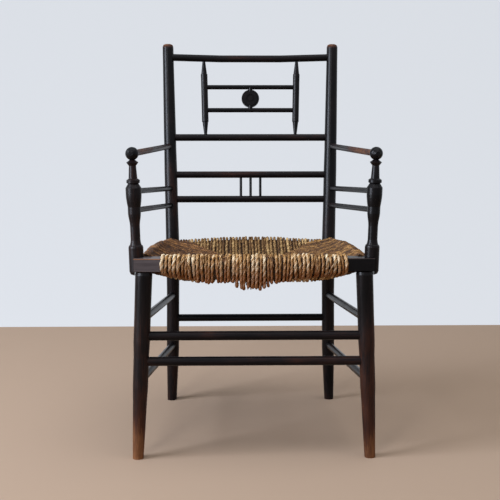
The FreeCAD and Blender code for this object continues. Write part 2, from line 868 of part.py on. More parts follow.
for place, stick_name in ((-1, "left"), (0, "centre"), (1, "right")):
    seats = []
    for rail, z in (("lower_lumbar_rail", size.lower_lumbar_z), ("upper_lumbar_rail", size.upper_lumbar_z)):
        spot = Spot(size.stick_pitch * place, post_seat(1, z)[0].y, z)
        seats.append(round_seat(rail, spot, size.lumbar_rail_dia / 2, size.stick_tenon_depth))
    rung("lumbar_stick_" + stick_name, seats[0], seats[1], size.stick_dia)


# Side stretchers, and the spindles under the arms

for side_name, side in SIDES:
    post = "back_post_" + side_name
    leg = "front_leg_" + side_name
    support = "arm_support_" + side_name
    for place, front_z, back_z in (
        ("upper", size.side_stretcher_upper_front_z, size.side_stretcher_upper_back_z),
        ("lower", size.side_stretcher_lower_front_z, size.side_stretcher_lower_back_z),
    ):
        seats = []
        for carrier, (spot, radius) in ((leg, leg_seat(side, front_z)), (post, post_seat(side, back_z))):
            seats.append(round_seat(carrier, spot, radius, size.stretcher_tenon_depth))
        rung("side_stretcher_%s_%s" % (place, side_name), seats[0], seats[1], size.side_stretcher_dia)
    depth = size.arm_spindle_tenon_depth
    upper = size.arm_spindle_upper_front_z, size.arm_spindle_upper_back_z, size.support_belly_dia
    lower = size.arm_spindle_lower_front_z, size.arm_spindle_lower_back_z, size.support_lower_belly_dia
    for place, (front_z, back_z, belly_dia) in (("upper", upper), ("lower", lower)):
        spot, radius = post_seat(side, back_z)
        rung(
            "arm_spindle_%s_%s" % (place, side_name),
            round_seat(support, support_spot(side, front_z), belly_dia / 2, depth),
            round_seat(post, spot, radius, depth),
            size.arm_spindle_dia,
        )


# Arms

def make_arm(name, side, post):
    """A turned arm: a ball with a small button at the front, and the back end let into the post."""
    ball = Spot(arm_ball_half * side, arm_line, size.arm_ball_z)
    post_spot, post_radius = post_seat(side, size.arm_back_z)
    seat = round_seat(post, post_spot, post_radius, size.arm_tenon_depth)
    heading = direction(ball, post_spot)
    ball_radius = size.arm_ball_dia / 2
    button = size.arm_button_dia / 2
    stick = size.arm_dia / 2
    button_station = -(ball_radius ** 2 - button ** 2).root()
    ball_end = (ball_radius ** 2 - stick ** 2).root()
    body = doc.addObject("PartDesign::Body", name + "_blank")
    sketch = flat_sketch(body, name + "_outline", "XZ_Plane")
    total = span(ball, post_spot) - seat.tip
    outline = [
        (ZERO, button_station - size.arm_button_height),
        (button - size.arm_button_height, button_station - size.arm_button_height),
        (button, button_station),
        Bow(ball_radius, ZERO),
        (stick, ball_end),
        (stick, total),
        (ZERO, total),
    ]
    draw_outline(sketch, outline)
    spin = body.newObject("PartDesign::Revolution", name + "_turning")
    spin.Profile = sketch
    spin.ReferenceAxis = (sketch, ["V_Axis"])
    spin.Angle = 360
    body.Tip = spin
    set_on_line(body, ball, heading)
    mortise(seat, -heading, stick)
    pieces.append((name, body))


for side_name, side in SIDES:
    make_arm("arm_" + side_name, side, "back_post_" + side_name)


# Arm supports

RING_ROUND_SHARE = 0.7
RING_EDGE_SHARE = 0.2
RING_FALL_SHARE = 0.6

# How a stretch of the turning eases into the next: shares of its height and of its change of radius
SHARP_SHARES = ()
TAPER_SHARES = ((0.5, 0.5),)
COVE_SHARES = ((0.4, 0.6),)
SWELL_SHARES = ((0.28, 0.16), (0.54, 0.5), (0.78, 0.82))
BELLY_SHARES = ((0.22, 0.34), (0.48, 0.66), (0.74, 0.88))


def make_support(name, side, arm):
    """A vase-turned support, lapped over the end of the corner block, pinned into the arm's ball."""
    foot_radius = size.support_foot_dia / 2
    waist = size.support_waist_dia / 2
    lower_belly = size.support_lower_belly_dia / 2
    belly = size.support_belly_dia / 2
    vase_neck = size.support_vase_neck_dia / 2
    collar = size.support_collar_dia / 2
    ring_round = size.support_ring_round
    foot_round = size.support_foot_round
    ball_low_z = size.arm_ball_z - size.arm_ball_dia / 2
    pin = size.support_pin_dia / 2
    reach = size.arm_spindle_dia / 2 + size.stretch_margin / 2

    foot_round_z = size.support_foot_z + foot_round * QUARTER_ROUND_SHARE
    lower_z = size.arm_spindle_lower_front_z
    upper_z = size.arm_spindle_upper_front_z
    ring_round_z = size.support_ring_z + ring_round * RING_ROUND_SHARE
    stations = [
        (size.support_foot_z, foot_radius - foot_round, SHARP_SHARES),
        (foot_round_z, foot_radius - foot_round * QUARTER_ROUND_SHARE, SHARP_SHARES),
        (size.support_foot_z + foot_round, foot_radius, SHARP_SHARES),
        (size.support_ring_z, foot_radius, SHARP_SHARES),
        (ring_round_z, foot_radius - ring_round * RING_EDGE_SHARE, SHARP_SHARES),
        (size.support_ring_z + ring_round, foot_radius - ring_round * RING_FALL_SHARE, COVE_SHARES),
        (size.support_waist_low_z, waist, SHARP_SHARES),
        (size.support_waist_top_z, waist, SWELL_SHARES),
        (lower_z - reach, lower_belly, SHARP_SHARES),
        (lower_z + reach, lower_belly, BELLY_SHARES),
        (upper_z - reach, belly, SHARP_SHARES),
        (upper_z + reach, belly, SHARP_SHARES),
        (size.support_vase_neck_z, vase_neck, SHARP_SHARES),
        (size.support_collar_low_z, collar, SHARP_SHARES),
        (size.support_collar_top_z, collar, SHARP_SHARES),
        (size.support_column_low_z, size.support_column_low_dia / 2, TAPER_SHARES),
        (size.support_column_top_z, size.support_column_top_dia / 2, SHARP_SHARES),
        (size.support_button_z, size.support_button_dia / 2, SHARP_SHARES),
        (size.support_pin_low_z, pin, SHARP_SHARES),
        (ball_low_z + size.support_pin_depth, pin, SHARP_SHARES),
    ]
    foot = support_spot(side, size.support_foot_z)
    ball = support_spot(side, size.arm_ball_z)
    heading = direction(foot, ball)
    rings = []
    for (z, radius, eased_shares), (next_z, next_radius, _) in zip(stations, stations[1:] + stations[-1:]):
        rings.append((support_spot(side, z), radius, heading))
        for height_share, girth_share in eased_shares:
            eased_spot = support_spot(side, z + (next_z - z) * height_share)
            rings.append((eased_spot, radius + (next_radius - radius) * girth_share, None))
    body = doc.addObject("PartDesign::Body", name + "_blank")
    add_turning(body, name + "_turning", rings)
    pin_tip = size.arm_ball_dia / 2 - size.support_pin_depth
    mortise(Seat(arm, ball, size.arm_ball_dia / 2, pin_tip), -heading, pin)
    lap_half = size.block_outer_half + size.joint_fit
    reach = size.support_foot_dia * 2
    low = size.support_foot_z - size.cut_overrun
    corner_x = -lap_half if side < 0 else lap_half - reach
    corner = Spot(corner_x, foot.y - reach / 2, low)
    box_cutter(name, corner, reach, reach, block_top_z + size.joint_fit - low)
    pieces.append((name, body))


for side_name, side in SIDES:
    make_support("arm_support_" + side_name, side, "arm_" + side_name)


# Keys between supports and corner blocks

def make_key(name, side, support):
    """A hidden loose tenon across the lap."""
    length = size.key_block_depth + size.key_support_depth
    near = (size.block_outer_half - size.key_block_depth) * side
    far = (size.block_outer_half + size.key_support_depth) * side
    low_x = far if side < 0 else near
    corner = Spot(low_x, arm_line - size.key_width / 2, block_mid_z - size.key_height / 2)
    key = doc.addObject("Part::Box", name + "_blank")
    bind(key, Length=length, Width=size.key_width, Height=size.key_height)
    key.Placement.Base = vector(corner)
    fit = size.joint_fit
    gap = size.tenon_end_gap
    hole = Spot(corner.x - gap, corner.y - fit, corner.z - fit)
    for piece in ("front_seat_rail", support):
        box_cutter(piece, hole, length + gap * 2, size.key_width + fit * 2, size.key_height + fit * 2)
    pieces.append((name, key))


for side_name, side in SIDES:
    make_key("support_key_" + side_name, side, "arm_support_" + side_name)


# Rush seat

RIM_SHARE = 0.97
RING_SHARE = 0.67
CENTRE_SHARE = 0.06


def make_rush_seat():
    """Rolls wound over the four rails, with four fields that slope to the middle above and below."""
    name = "rush_seat"
    fit = size.rush_fit
    along_x = FreeCAD.Vector(1, 0, 0)
    back = post_seat(1, size.back_rail_z)[0]
    front_half = block_inner_half - fit
    front_line = (Spot(-front_half, leg_line, block_mid_z), Spot(front_half, leg_line, block_mid_z))
    back_line = (Spot(-back.x, back.y, back.z), back)
    rail_lines = [front_line, back_line] + [side_rail_line(side) for side_name, side in SIDES]

    solids = []
    for number, (start, end) in enumerate(rail_lines):
        roll = doc.addObject("Part::Cylinder", "rush_roll_%d" % number)
        bind(roll, Radius=rush_roll_radius, Height=span(start, end))
        set_on_line(roll, start, direction(start, end))
        solids.append(roll)

    front_middle = Spot(ZERO, leg_line, block_mid_z)
    back_middle = Spot(ZERO, back.y, back.z)
    middle = Spot(ZERO, (leg_line + back.y) / 2, (block_mid_z + back.z) / 2)
    half_depth = span(front_middle, back_middle).number / 2
    rim = rush_roll_radius - size.rush_rim_drop

    def corners(share, height):
        """The seat's outline between the rails' middles, drawn in to a share of its size."""
        wide = side_rail_front_half.number * share
        narrow = size.post_seat_half.number * share
        deep = half_depth * share
        outline = ((-wide, -deep), (wide, -deep), (narrow, deep), (-narrow, deep))
        return [FreeCAD.Vector(x, y, height.number) for x, y in outline]

    loops = [
        corners(CENTRE_SHARE, size.rush_centre_low_z - middle.z),
        corners(RING_SHARE, size.rush_ring_low_z - middle.z),
        corners(1, -rim),
        corners(1, rim),
        corners(RIM_SHARE, rim),
        corners(CENTRE_SHARE, size.rush_centre_top_z - middle.z),
    ]
    outlines = [loops[0], loops[-1]]
    for inner, outer in zip(loops, loops[1:]):
        for number in range(len(inner)):
            outlines.append([inner[number - 1], inner[number], outer[number], outer[number - 1]])
    faces = [Part.Face(Part.makePolygon(outline + outline[:1])) for outline in outlines]
    fields = doc.addObject("Part::Feature", "rush_fields")
    fields.Shape = Part.Solid(Part.Shell(faces))
    backwards = direction(front_middle, back_middle)
    turn = FreeCAD.Rotation(along_x, backwards, along_x.cross(backwards), "XYZ")
    fields.Placement = FreeCAD.Placement(vector(middle), turn)
    solids.append(fields)
    blank = doc.addObject("Part::MultiFuse", "rush_blank")
    blank.Shapes = solids

    hole = size.seat_rail_section + fit * 2
    post_hole = size.post_seat_dia / 2 + size.rush_post_fit
    for start, end in rail_lines:
        square_bore(name, start, direction(start, end), -hole, span(start, end) + hole, hole)
    for side_name, side in SIDES:
        reach = size.block_length * 2
        inner = block_inner_half - fit
        corner_x = -inner - reach if side < 0 else inner
        depth = size.block_depth + size.cut_overrun * 2
        corner = Spot(corner_x, leg_line + size.block_depth / 2 + fit - depth, block_mid_z - reach)
        box_cutter(name, corner, reach, depth, reach * 2)
        low = post_seat(side, size.back_rail_z - rush_roll_radius)[0]
        high = post_seat(side, size.side_rail_back_z + rush_roll_radius)[0]
        end = span(low, high) + rush_roll_radius
        bore(name, low, direction(low, high), -rush_roll_radius, end, post_hole)
        foot = support_spot(side, size.support_foot_z)
        ring = support_spot(side, size.support_ring_z)
        bore(name, foot, direction(foot, ring), ZERO, span(foot, ring), size.support_foot_dia / 2 + fit)
    pieces.append((name, blank))


make_rush_seat()


# Each piece less its mortises, then the check and the files

def finished(name, blank):
    tools = mortises.get(name, [])
    if not tools:
        blank.Label = name
        return blank
    cutter = tools[0]
    if len(tools) > 1:
        cutter = doc.addObject("Part::MultiFuse", name + "_cutters")
        cutter.Shapes = tools
    piece = doc.addObject("Part::Cut", name)
    piece.Label = name
    piece.Base = blank
    piece.Tool = cutter
    return piece


parts = [finished(name, blank) for name, blank in pieces]
doc.recompute()

for item in doc.Objects:
    if "Invalid" in item.State or "Error" in item.State:
        raise RuntimeError("%s did not compute: %s" % (item.Label, item.State))

os.makedirs("parts", exist_ok=True)
for part in parts:
    shape = part.Shape
    if shape.isNull() or not shape.isValid() or not shape.Solids:
        raise RuntimeError("%s has no valid solid" % part.Label)
    shape.exportStep("parts/%s.step" % part.Label)
    print("%-28s solids %d  volume %.0f mm3" % (part.Label, len(shape.Solids), shape.Volume))
print(len(parts), "parts written")
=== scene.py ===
import bpy
import bmesh
import math
import random
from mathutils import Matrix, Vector


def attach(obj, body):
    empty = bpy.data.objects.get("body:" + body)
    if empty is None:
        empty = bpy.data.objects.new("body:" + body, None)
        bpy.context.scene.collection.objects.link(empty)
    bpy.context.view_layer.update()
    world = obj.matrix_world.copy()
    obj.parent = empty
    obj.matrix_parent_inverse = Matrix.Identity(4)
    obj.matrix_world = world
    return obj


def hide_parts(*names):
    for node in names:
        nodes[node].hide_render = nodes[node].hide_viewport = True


# Ebonised turned armchair with a rush seat. Metres, +X right, +Y back, +Z up; the chair faces -Y.
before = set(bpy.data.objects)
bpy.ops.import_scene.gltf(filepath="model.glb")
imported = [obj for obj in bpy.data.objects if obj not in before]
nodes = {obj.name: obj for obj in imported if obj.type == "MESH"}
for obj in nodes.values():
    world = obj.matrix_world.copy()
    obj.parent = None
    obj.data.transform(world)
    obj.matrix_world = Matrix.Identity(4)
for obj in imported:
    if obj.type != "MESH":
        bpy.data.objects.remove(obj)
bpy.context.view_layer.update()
print("frame loaded:", len(nodes), "nodes")

# camera, where the photograph was taken from
cameraSizes = {
    "place": (-0.0444, -2.1483, 0.7279),
    "tiltDown": 8.73,
    "turnRight": 1.06,
    "lens": 70.3,
    "sensor": 36.0,
}
cameraData = bpy.data.cameras.new("camera")
cameraData.lens = cameraSizes["lens"]
cameraData.sensor_width = cameraSizes["sensor"]
camera = bpy.data.objects.new("camera", cameraData)
camera.location = cameraSizes["place"]
camera.rotation_euler = (
    math.radians(90 - cameraSizes["tiltDown"]),
    0,
    -math.radians(cameraSizes["turnRight"]),
)
bpy.context.scene.collection.objects.link(camera)
bpy.context.scene.camera = camera
bpy.context.scene.view_settings.view_transform = "Standard"


def linear(hexColour):  # sRGB hex to linear RGBA
    parts = [int(hexColour[start:start + 2], 16) / 255 for start in (1, 3, 5)]
    return [part / 12.92 if part <= 0.04045 else ((part + 0.055) / 1.055) ** 2.4 for part in parts] + [1.0]


def grey(value):
    return [value, value, value, 1.0]


def addNode(tree, kind, links=None, stops=(), **settings):
    # links gives each input a value, another node's output, or a node for its first output
    node = tree.nodes.new(kind)
    for key, value in settings.items():
        setattr(node, key, value)
    for key, value in (links or {}).items():
        if isinstance(value, bpy.types.Node):
            value = value.outputs[0]
        if isinstance(value, bpy.types.NodeSocket):
            tree.links.new(value, node.inputs[key])
        else:
            node.inputs[key].default_value = value
    if stops:
        elements = node.color_ramp.elements
        while len(elements) < len(stops):
            elements.new(0.5)
        for element, (at, tint) in zip(elements, stops):
            element.position = at
            element.color = tint
    return node


def newMaterial(name):
    material = bpy.data.materials.new(name)
    material.use_nodes = True
    material.node_tree.nodes.clear()
    return material, material.node_tree


# ebonised beech: black stain over brown wood, waxed to a satin sheen, and rubbed back to red-brown
# and then to bare tan where hands, feet and brooms have touched it
woodSizes = {
    # how far it is rubbed and the colour it then has: whole stain, thin stain, worn brown, bare wood
    "wear": ((0.50, "#0b0b0d"), (0.62, "#191415"), (0.80, "#402419"), (1.0, "#8a5c3a")),
    "roughness": ((0.54, 0.28), (0.88, 0.50)),  # of whole wax, and of wood that is rubbed bare
    # the grey of a painted sheen, laid on the left block's face for light from the left
    "paintedSheen": "#5f585a",
    "grainPitch": 0.0016,
    "grainLength": 0.075,
    "patch": 0.05,
    "patchStretch": 0.3,  # the patches' pace along the grain, where they are about three times as long
    "patchShare": 0.66,
    "grainShare": 0.34,
    "detail": 5.0,
    "noiseRoughness": 0.6,
    "frontUp": (0.0, -0.93, 0.36),  # the way that most worn faces look
    "arris": (0.0, -0.7071, 0.7071),
    "arrisFrom": 0.9,
    "arrisFull": 0.98,
    "rightBlock": 0.2,
    "leftBlock": -0.2,
    "rightWear": 0.4,  # of the left block's, which is rubbed more
    # how much less painted sheen there is on the arris
    "arrisPaintedSheen": -3.0,  # none stays on the arris
    "bumpStrength": 0.15,
    "bumpDepth": 0.0003,
    "ballPlace": (0.2411, -0.2159, 0.6237),
    "ringPitch": 0.0026,
    "ringFrom": 0.004,  # ahead of the ball's middle
    "ringFull": 0.007,
    "ringHeight": 3.6,  # times the grain's
}


def ebonisedBeech(name, axis, thin=0.0, front=0.0, fades=(), edge=0.0, rings=False, paintedSheen=(), sheen=1.21):
    # thin wears it all over, front where it faces forwards and up, edge along the front arris;
    # each fade is an axis letter, the place where wear begins, the place where it is full, and how much;
    # one more such fade, given apart, is painted sheen, not wear: grey on the left block's face, standing in
    # for light from the left; rings are those on the arms' balls;
    # sheen is the index of the old wax, about 1.45 when fresh and lower here, where it has gone dull
    material, tree = newMaterial(name)
    place = addNode(tree, "ShaderNodeTexCoord").outputs["Object"]
    letters = addNode(tree, "ShaderNodeSeparateXYZ", {"Vector": place}).outputs
    patterns = []
    for across, lengthwise in (
        (1 / woodSizes["grainPitch"], 1 / woodSizes["grainLength"]),
        (1 / woodSizes["patch"], woodSizes["patchStretch"] / woodSizes["patch"]),
    ):
        pace = [lengthwise if letter == axis else across for letter in "xyz"]
        along = addNode(tree, "ShaderNodeMapping", {"Vector": place, "Scale": pace})
        pattern = addNode(
            tree,
            "ShaderNodeTexNoise",
            {
                "Vector": along,
                "Scale": 1.0,
                "Detail": woodSizes["detail"],
                "Roughness": woodSizes["noiseRoughness"],
            },
        )
        patterns.append(pattern)
    grain, patches = patterns
    # how far the stain is rubbed away: broad patches broken up by the grain
    rub = addNode(
        tree, "ShaderNodeMath", {0: patches, 1: woodSizes["patchShare"], 2: thin}, operation="MULTIPLY_ADD"
    )
    rub = addNode(
        tree, "ShaderNodeMath", {0: grain, 1: woodSizes["grainShare"], 2: rub}, operation="MULTIPLY_ADD"
    )
    shape = addNode(tree, "ShaderNodeNewGeometry").outputs
    if front:
        facing = addNode(
            tree,
            "ShaderNodeVectorMath",
            {0: shape["Normal"], 1: woodSizes["frontUp"]},
            operation="DOT_PRODUCT",
        ).outputs["Value"]
        facing = addNode(tree, "ShaderNodeMath", {0: facing, 1: 0.0}, operation="MAXIMUM")
        rub = addNode(tree, "ShaderNodeMath", {0: facing, 1: front, 2: rub}, operation="MULTIPLY_ADD")
    for letter, begin, full, amount in fades:
        fade = addNode(
            tree, "ShaderNodeMapRange", {"Value": letters[letter], 1: begin, 2: full, 3: 0.0, 4: amount}
        )
        rub = addNode(tree, "ShaderNodeMath", {0: rub, 1: fade}, operation="ADD")
    arris = 0.0
    if edge:
        arris = addNode(
            tree,
            "ShaderNodeVectorMath",
            {0: shape["True Normal"], 1: woodSizes["arris"]},
            operation="DOT_PRODUCT",
        ).outputs["Value"]
        arris = addNode(
            tree,
            "ShaderNodeMapRange",
            {"Value": arris, 1: woodSizes["arrisFrom"], 2: woodSizes["arrisFull"], 3: 0.0, 4: edge},
        )
        side = addNode(
            tree,
            "ShaderNodeMapRange",
            {
                "Value": letters["X"],
                1: woodSizes["rightBlock"],
                2: woodSizes["leftBlock"],
                3: woodSizes["rightWear"],
                4: 1.0,
            },
        )
        rub = addNode(tree, "ShaderNodeMath", {0: arris, 1: side, 2: rub}, operation="MULTIPLY_ADD")
    stops = [(at, linear(tint)) for at, tint in woodSizes["wear"]]
    colour = addNode(tree, "ShaderNodeValToRGB", {"Fac": rub}, stops=stops)
    # painted sheen: the left block's face is greyed, broken by the grain, where light from the left would
    # shine on it
    if paintedSheen:
        letter, begin, full, amount = paintedSheen
        paintedSheenShare = addNode(
            tree, "ShaderNodeMapRange", {"Value": letters[letter], 1: begin, 2: full, 3: 0.0, 4: amount}
        )
        paintedSheenShare = addNode(tree, "ShaderNodeMath", {0: paintedSheenShare, 1: grain}, operation="MULTIPLY")
        paintedSheenShare = addNode(
            tree, "ShaderNodeMath", {0: arris, 1: woodSizes["arrisPaintedSheen"], 2: paintedSheenShare}, operation="MULTIPLY_ADD"
        )
        colour = addNode(
            tree,
            "ShaderNodeMix",
            {"Factor": paintedSheenShare, "A": colour, "B": linear(woodSizes["paintedSheen"])},
            data_type="RGBA",
            blend_type="MIX",
        ).outputs[2]
    stops = [(at, grey(value)) for at, value in woodSizes["roughness"]]
    rough = addNode(tree, "ShaderNodeValToRGB", {"Fac": rub}, stops=stops)
    height = grain
    if rings:
        # the turner's rings on the face of each arm's ball
        ballY = woodSizes["ballPlace"][1]
        sideways = addNode(tree, "ShaderNodeMath", {0: letters["X"]}, operation="ABSOLUTE")
        mirrored = addNode(tree, "ShaderNodeCombineXYZ", {"X": sideways, "Y": ballY, "Z": letters["Z"]})
        far = addNode(
            tree, "ShaderNodeVectorMath", {0: mirrored, 1: woodSizes["ballPlace"]}, operation="DISTANCE"
        ).outputs["Value"]
        waves = addNode(
            tree, "ShaderNodeMath", {0: far, 1: 2 * math.pi / woodSizes["ringPitch"]}, operation="MULTIPLY"
        )
        waves = addNode(tree, "ShaderNodeMath", {0: waves}, operation="COSINE")
        onFace = addNode(
            tree,
            "ShaderNodeMapRange",
            {
                "Value": letters["Y"],
                1: ballY - woodSizes["ringFrom"],
                2: ballY - woodSizes["ringFull"],
                3: 0.0,
                4: woodSizes["ringHeight"],
            },
        )
        height = addNode(tree, "ShaderNodeMath", {0: waves, 1: onFace, 2: grain}, operation="MULTIPLY_ADD")
    bump = addNode(
        tree,
        "ShaderNodeBump",
        {"Height": height, "Strength": woodSizes["bumpStrength"], "Distance": woodSizes["bumpDepth"]},
    )
    shader = addNode(
        tree,
        "ShaderNodeBsdfPrincipled",
        {"Base Color": colour, "Roughness": rough, "Normal": bump, "IOR": sheen},
    )
    addNode(tree, "ShaderNodeOutputMaterial", {"Surface": shader})
    return material


def mottled(name, perMetre, detail, dark, light, roughness):  # a dull stuff, mottled from dark to light
    material, tree = newMaterial(name)
    place = addNode(tree, "ShaderNodeTexCoord").outputs["Object"]
    speckle = addNode(tree, "ShaderNodeTexNoise", {"Vector": place, "Scale": perMetre, "Detail": detail})
    stops = [(at, linear(tint)) for at, tint in (dark, light)]
    colour = addNode(tree, "ShaderNodeValToRGB", {"Fac": speckle}, stops=stops)
    shader = addNode(tree, "ShaderNodeBsdfPrincipled", {"Base Color": colour, "Roughness": roughness})
    addNode(tree, "ShaderNodeOutputMaterial", {"Surface": shader})
    return material


# plain beech, sawn and never finished, with flecks about 11 mm apart; hidden inside the seat
bareBeech = mottled(
    "bareBeech", perMetre=90.0, detail=4.0, dark=(0.3, "#3a2a1c"), light=(0.7, "#5c4530"), roughness=0.7
)

# each fade of the wear: its axis, where it begins, where it is full, and how much it is
wearSizes = {
    "postTop": ("Z", 0.849, 0.857, 0.3),
    "postFoot": ("Z", 0.40, 0.0, 0.05),
    "leg": ("Z", 0.38, 0.05, 0.20),
    "leftFoot": ("Z", 0.11, 0.0, 0.24),
    "rightFoot": ("Z", 0.075, 0.0, 0.18),
    "hand": ("Y", 0.04, -0.12, 0.22),
    "darkBall": ("Y", -0.195, -0.205, -0.36),
    # painted sheen, not wear: grey on the left block's face for light from the left
    "leftBlockPaintedSheen": ("X", -0.10, -0.19, 1.5),
}
postFades = [wearSizes["postTop"], wearSizes["postFoot"]]
leftLegFades = [wearSizes["leg"], wearSizes["leftFoot"]]
rightLegFades = [wearSizes["leg"], wearSizes["rightFoot"]]
armFades = [wearSizes["hand"], wearSizes["darkBall"]]

railSheen = 1.18  # the back's rails and rods and the front stretchers, duller than the posts and legs

# the wood's finish by the beginning of a node's name
nodeFinish = {
    "back_post": ebonisedBeech("ebonisedPost", "z", thin=0.04, fades=postFades),
    "front_leg_left": ebonisedBeech("ebonisedLegLeft", "z", thin=0.035, fades=leftLegFades),
    "front_leg_right": ebonisedBeech("ebonisedLegRight", "z", thin=0.035, fades=rightLegFades),
    "front_seat_rail": ebonisedBeech("ebonisedBlock", "x", edge=0.5, paintedSheen=wearSizes["leftBlockPaintedSheen"]),
    "side_seat_rail": bareBeech,
    "back_seat_rail": bareBeech,
    "support_key": bareBeech,
    "upper_back_rail": ebonisedBeech("ebonisedBackRail", "x", front=0.10, sheen=railSheen),
    "upper_lumbar_rail": ebonisedBeech("ebonisedLumbarRail", "x", front=0.08, sheen=railSheen),
    "lower_lumbar_rail": ebonisedBeech("ebonisedLowLumbarRail", "x", front=0.05, sheen=railSheen),
    "back_stretcher": ebonisedBeech("ebonisedBackStretcher", "x"),
    "front_stretcher": ebonisedBeech("ebonisedFrontStretcher", "x", thin=0.02, front=0.09, sheen=railSheen),
    "crest_rail": ebonisedBeech("ebonisedCrest", "x", thin=0.02, front=0.04, sheen=railSheen),
    "frame_spindle": ebonisedBeech("ebonisedSpindle", "z"),
    "frame_rod": ebonisedBeech("ebonisedRod", "x", thin=0.02, sheen=railSheen),
    "roundel": ebonisedBeech("ebonisedRoundel", "z"),
    "lumbar_stick": ebonisedBeech("ebonisedStick", "z"),
    "side_stretcher": ebonisedBeech("ebonisedSideStretcher", "y", thin=0.03, sheen=1.2),
    "arm_spindle": ebonisedBeech("ebonisedArmSpindle", "y", thin=0.03, sheen=1.12),
    "arm_support": ebonisedBeech("ebonisedSupport", "z", thin=0.06),
    "arm": ebonisedBeech("ebonisedArm", "y", thin=0.12, fades=armFades, rings=True),
}
for nodeName, node in nodes.items():
    family = max((key for key in nodeFinish if nodeName.startswith(key)), key=len, default=None)
    if family:
        node.data.materials.clear()
        node.data.materials.append(nodeFinish[family])
        for face in node.data.polygons:
            face.use_smooth = True
print("wood finished:", len(nodeFinish), "kinds of piece")


# twisted rush: bulrush leaves, twisted by hand and dried; straw gold streaked brown along the twist, dull
rushLook = {
    "fibre": 3.4,  # streaks to a strand's radius, which makes them about 0.9 mm wide
    "fibreDetail": 6.0,
    "fibreRoughness": 0.66,
    "blotch": 0.7,  # blotches to a strand's radius, about 5 mm each
    "blotchDetail": 3.0,
    "stretch": 15.0,  # units of the pattern to a metre of strand, so that a streak is about 20 mm long
    "apart": 57.0,  # how far along its pattern one strand may start after another
    "fibreShare": 0.52,
    "blotchShare": 0.42,
    "middle": 0.53,
    "roughness": 0.62,
    "index": 1.38,
    "bumpStrength": 0.8,
    "bumpDepth": 0.0008,
    "rimTop": 0.419,
    "rimLow": 0.380,
    "rollBack": -0.200,
    "rollFront": -0.221,
}


def twistedRush(name, dark, mid, light, toneShare, contrast, low=None, paintedShadeShare=0.0):
    # toneShare is how far strands differ, contrast how far a streak goes from the middle colour
    material, tree = newMaterial(name)
    along, tone, roundX, roundY = [
        addNode(tree, "ShaderNodeAttribute", attribute_name=label).outputs["Fac"]
        for label in ("along", "tone", "roundX", "roundY")
    ]
    # the strand's own space: the way out of its twisting section, and how far along it
    length = addNode(tree, "ShaderNodeMath", {0: along, 1: rushLook["stretch"]}, operation="MULTIPLY")
    length = addNode(
        tree, "ShaderNodeMath", {0: tone, 1: rushLook["apart"], 2: length}, operation="MULTIPLY_ADD"
    )
    leaf = addNode(tree, "ShaderNodeCombineXYZ", {"X": roundX, "Y": roundY, "Z": length})
    fibre = addNode(
        tree,
        "ShaderNodeTexNoise",
        {
            "Vector": leaf,
            "Scale": rushLook["fibre"],
            "Detail": rushLook["fibreDetail"],
            "Roughness": rushLook["fibreRoughness"],
        },
    )
    blotch = addNode(
        tree,
        "ShaderNodeTexNoise",
        {"Vector": leaf, "Scale": rushLook["blotch"], "Detail": rushLook["blotchDetail"]},
    )
    shade = addNode(tree, "ShaderNodeMath", {0: fibre, 1: rushLook["fibreShare"]}, operation="MULTIPLY")
    for part, share in ((blotch, rushLook["blotchShare"]), (tone, toneShare)):
        shade = addNode(tree, "ShaderNodeMath", {0: part, 1: share, 2: shade}, operation="MULTIPLY_ADD")
    middle = rushLook["middle"]
    stops = [(middle - contrast, linear(dark)), (middle, linear(mid)), (middle + contrast, linear(light))]
    colour = addNode(tree, "ShaderNodeValToRGB", {"Fac": shade}, stops=stops).outputs[0]
    if low:
        # painted shade: darker and browner down the front of the roll, where it turns down and away from the
        # light
        place = addNode(tree, "ShaderNodeTexCoord").outputs["Object"]
        letters = addNode(tree, "ShaderNodeSeparateXYZ", {"Vector": place}).outputs
        fade, ahead = [
            addNode(
                tree, "ShaderNodeMapRange", {"Value": letters[letter], 1: begin, 2: full, 3: 0.0, 4: amount}
            )
            for letter, begin, full, amount in (
                ("Z", rushLook["rimTop"], rushLook["rimLow"], paintedShadeShare),
                ("Y", rushLook["rollBack"], rushLook["rollFront"], 1.0),
            )
        ]
        fade = addNode(tree, "ShaderNodeMath", {0: fade, 1: ahead}, operation="MULTIPLY")
        colour = addNode(
            tree,
            "ShaderNodeMix",
            {"Factor": fade, "A": colour, "B": linear(low)},
            data_type="RGBA",
            blend_type="MIX",
        ).outputs[2]
    bump = addNode(
        tree,
        "ShaderNodeBump",
        {"Height": fibre, "Strength": rushLook["bumpStrength"], "Distance": rushLook["bumpDepth"]},
    )
    shader = addNode(
        tree,
        "ShaderNodeBsdfPrincipled",
        {"Base Color": colour, "Roughness": rushLook["roughness"], "Normal": bump, "IOR": rushLook["index"]},
    )
    addNode(tree, "ShaderNodeOutputMaterial", {"Surface": shader})
    return material


# the front's strands turn orange-brown lower down the roll, as painted shade
frontRush = twistedRush(
    "twistedRushFront", "#45270f", "#b98848", "#f8ebca",
    toneShare=0.09, contrast=0.105, low="#80460f", paintedShadeShare=0.85,
)
backRush = twistedRush("twistedRushBack", "#341d0c", "#7b572d", "#d3b078", toneShare=0.12, contrast=0.105)
# one rush on both sides: the left field is painted darker as painted shade and the right lighter as painted
# light, for the way each faces the light
leftRushPaintedShade = twistedRush("twistedRushLeftPaintedShade", "#1e1107", "#4c2c12", "#9c6d3c", toneShare=0.12, contrast=0.12)
rightRushPaintedLight = twistedRush("twistedRushRightPaintedLight", "#2a180a", "#65411b", "#b98b4e", toneShare=0.12, contrast=0.12)

# chopped rush stuffed inside the seat, in bits of about 2.4 mm; its dark brown is partly its own and partly
# painted shade, for the gaps between the strands
packingAndPaintedShade = mottled(
    "rushPacking", perMetre=420.0, detail=3.0, dark=(0.35, "#20140a"), light=(0.7, "#54381b"), roughness=0.9
)

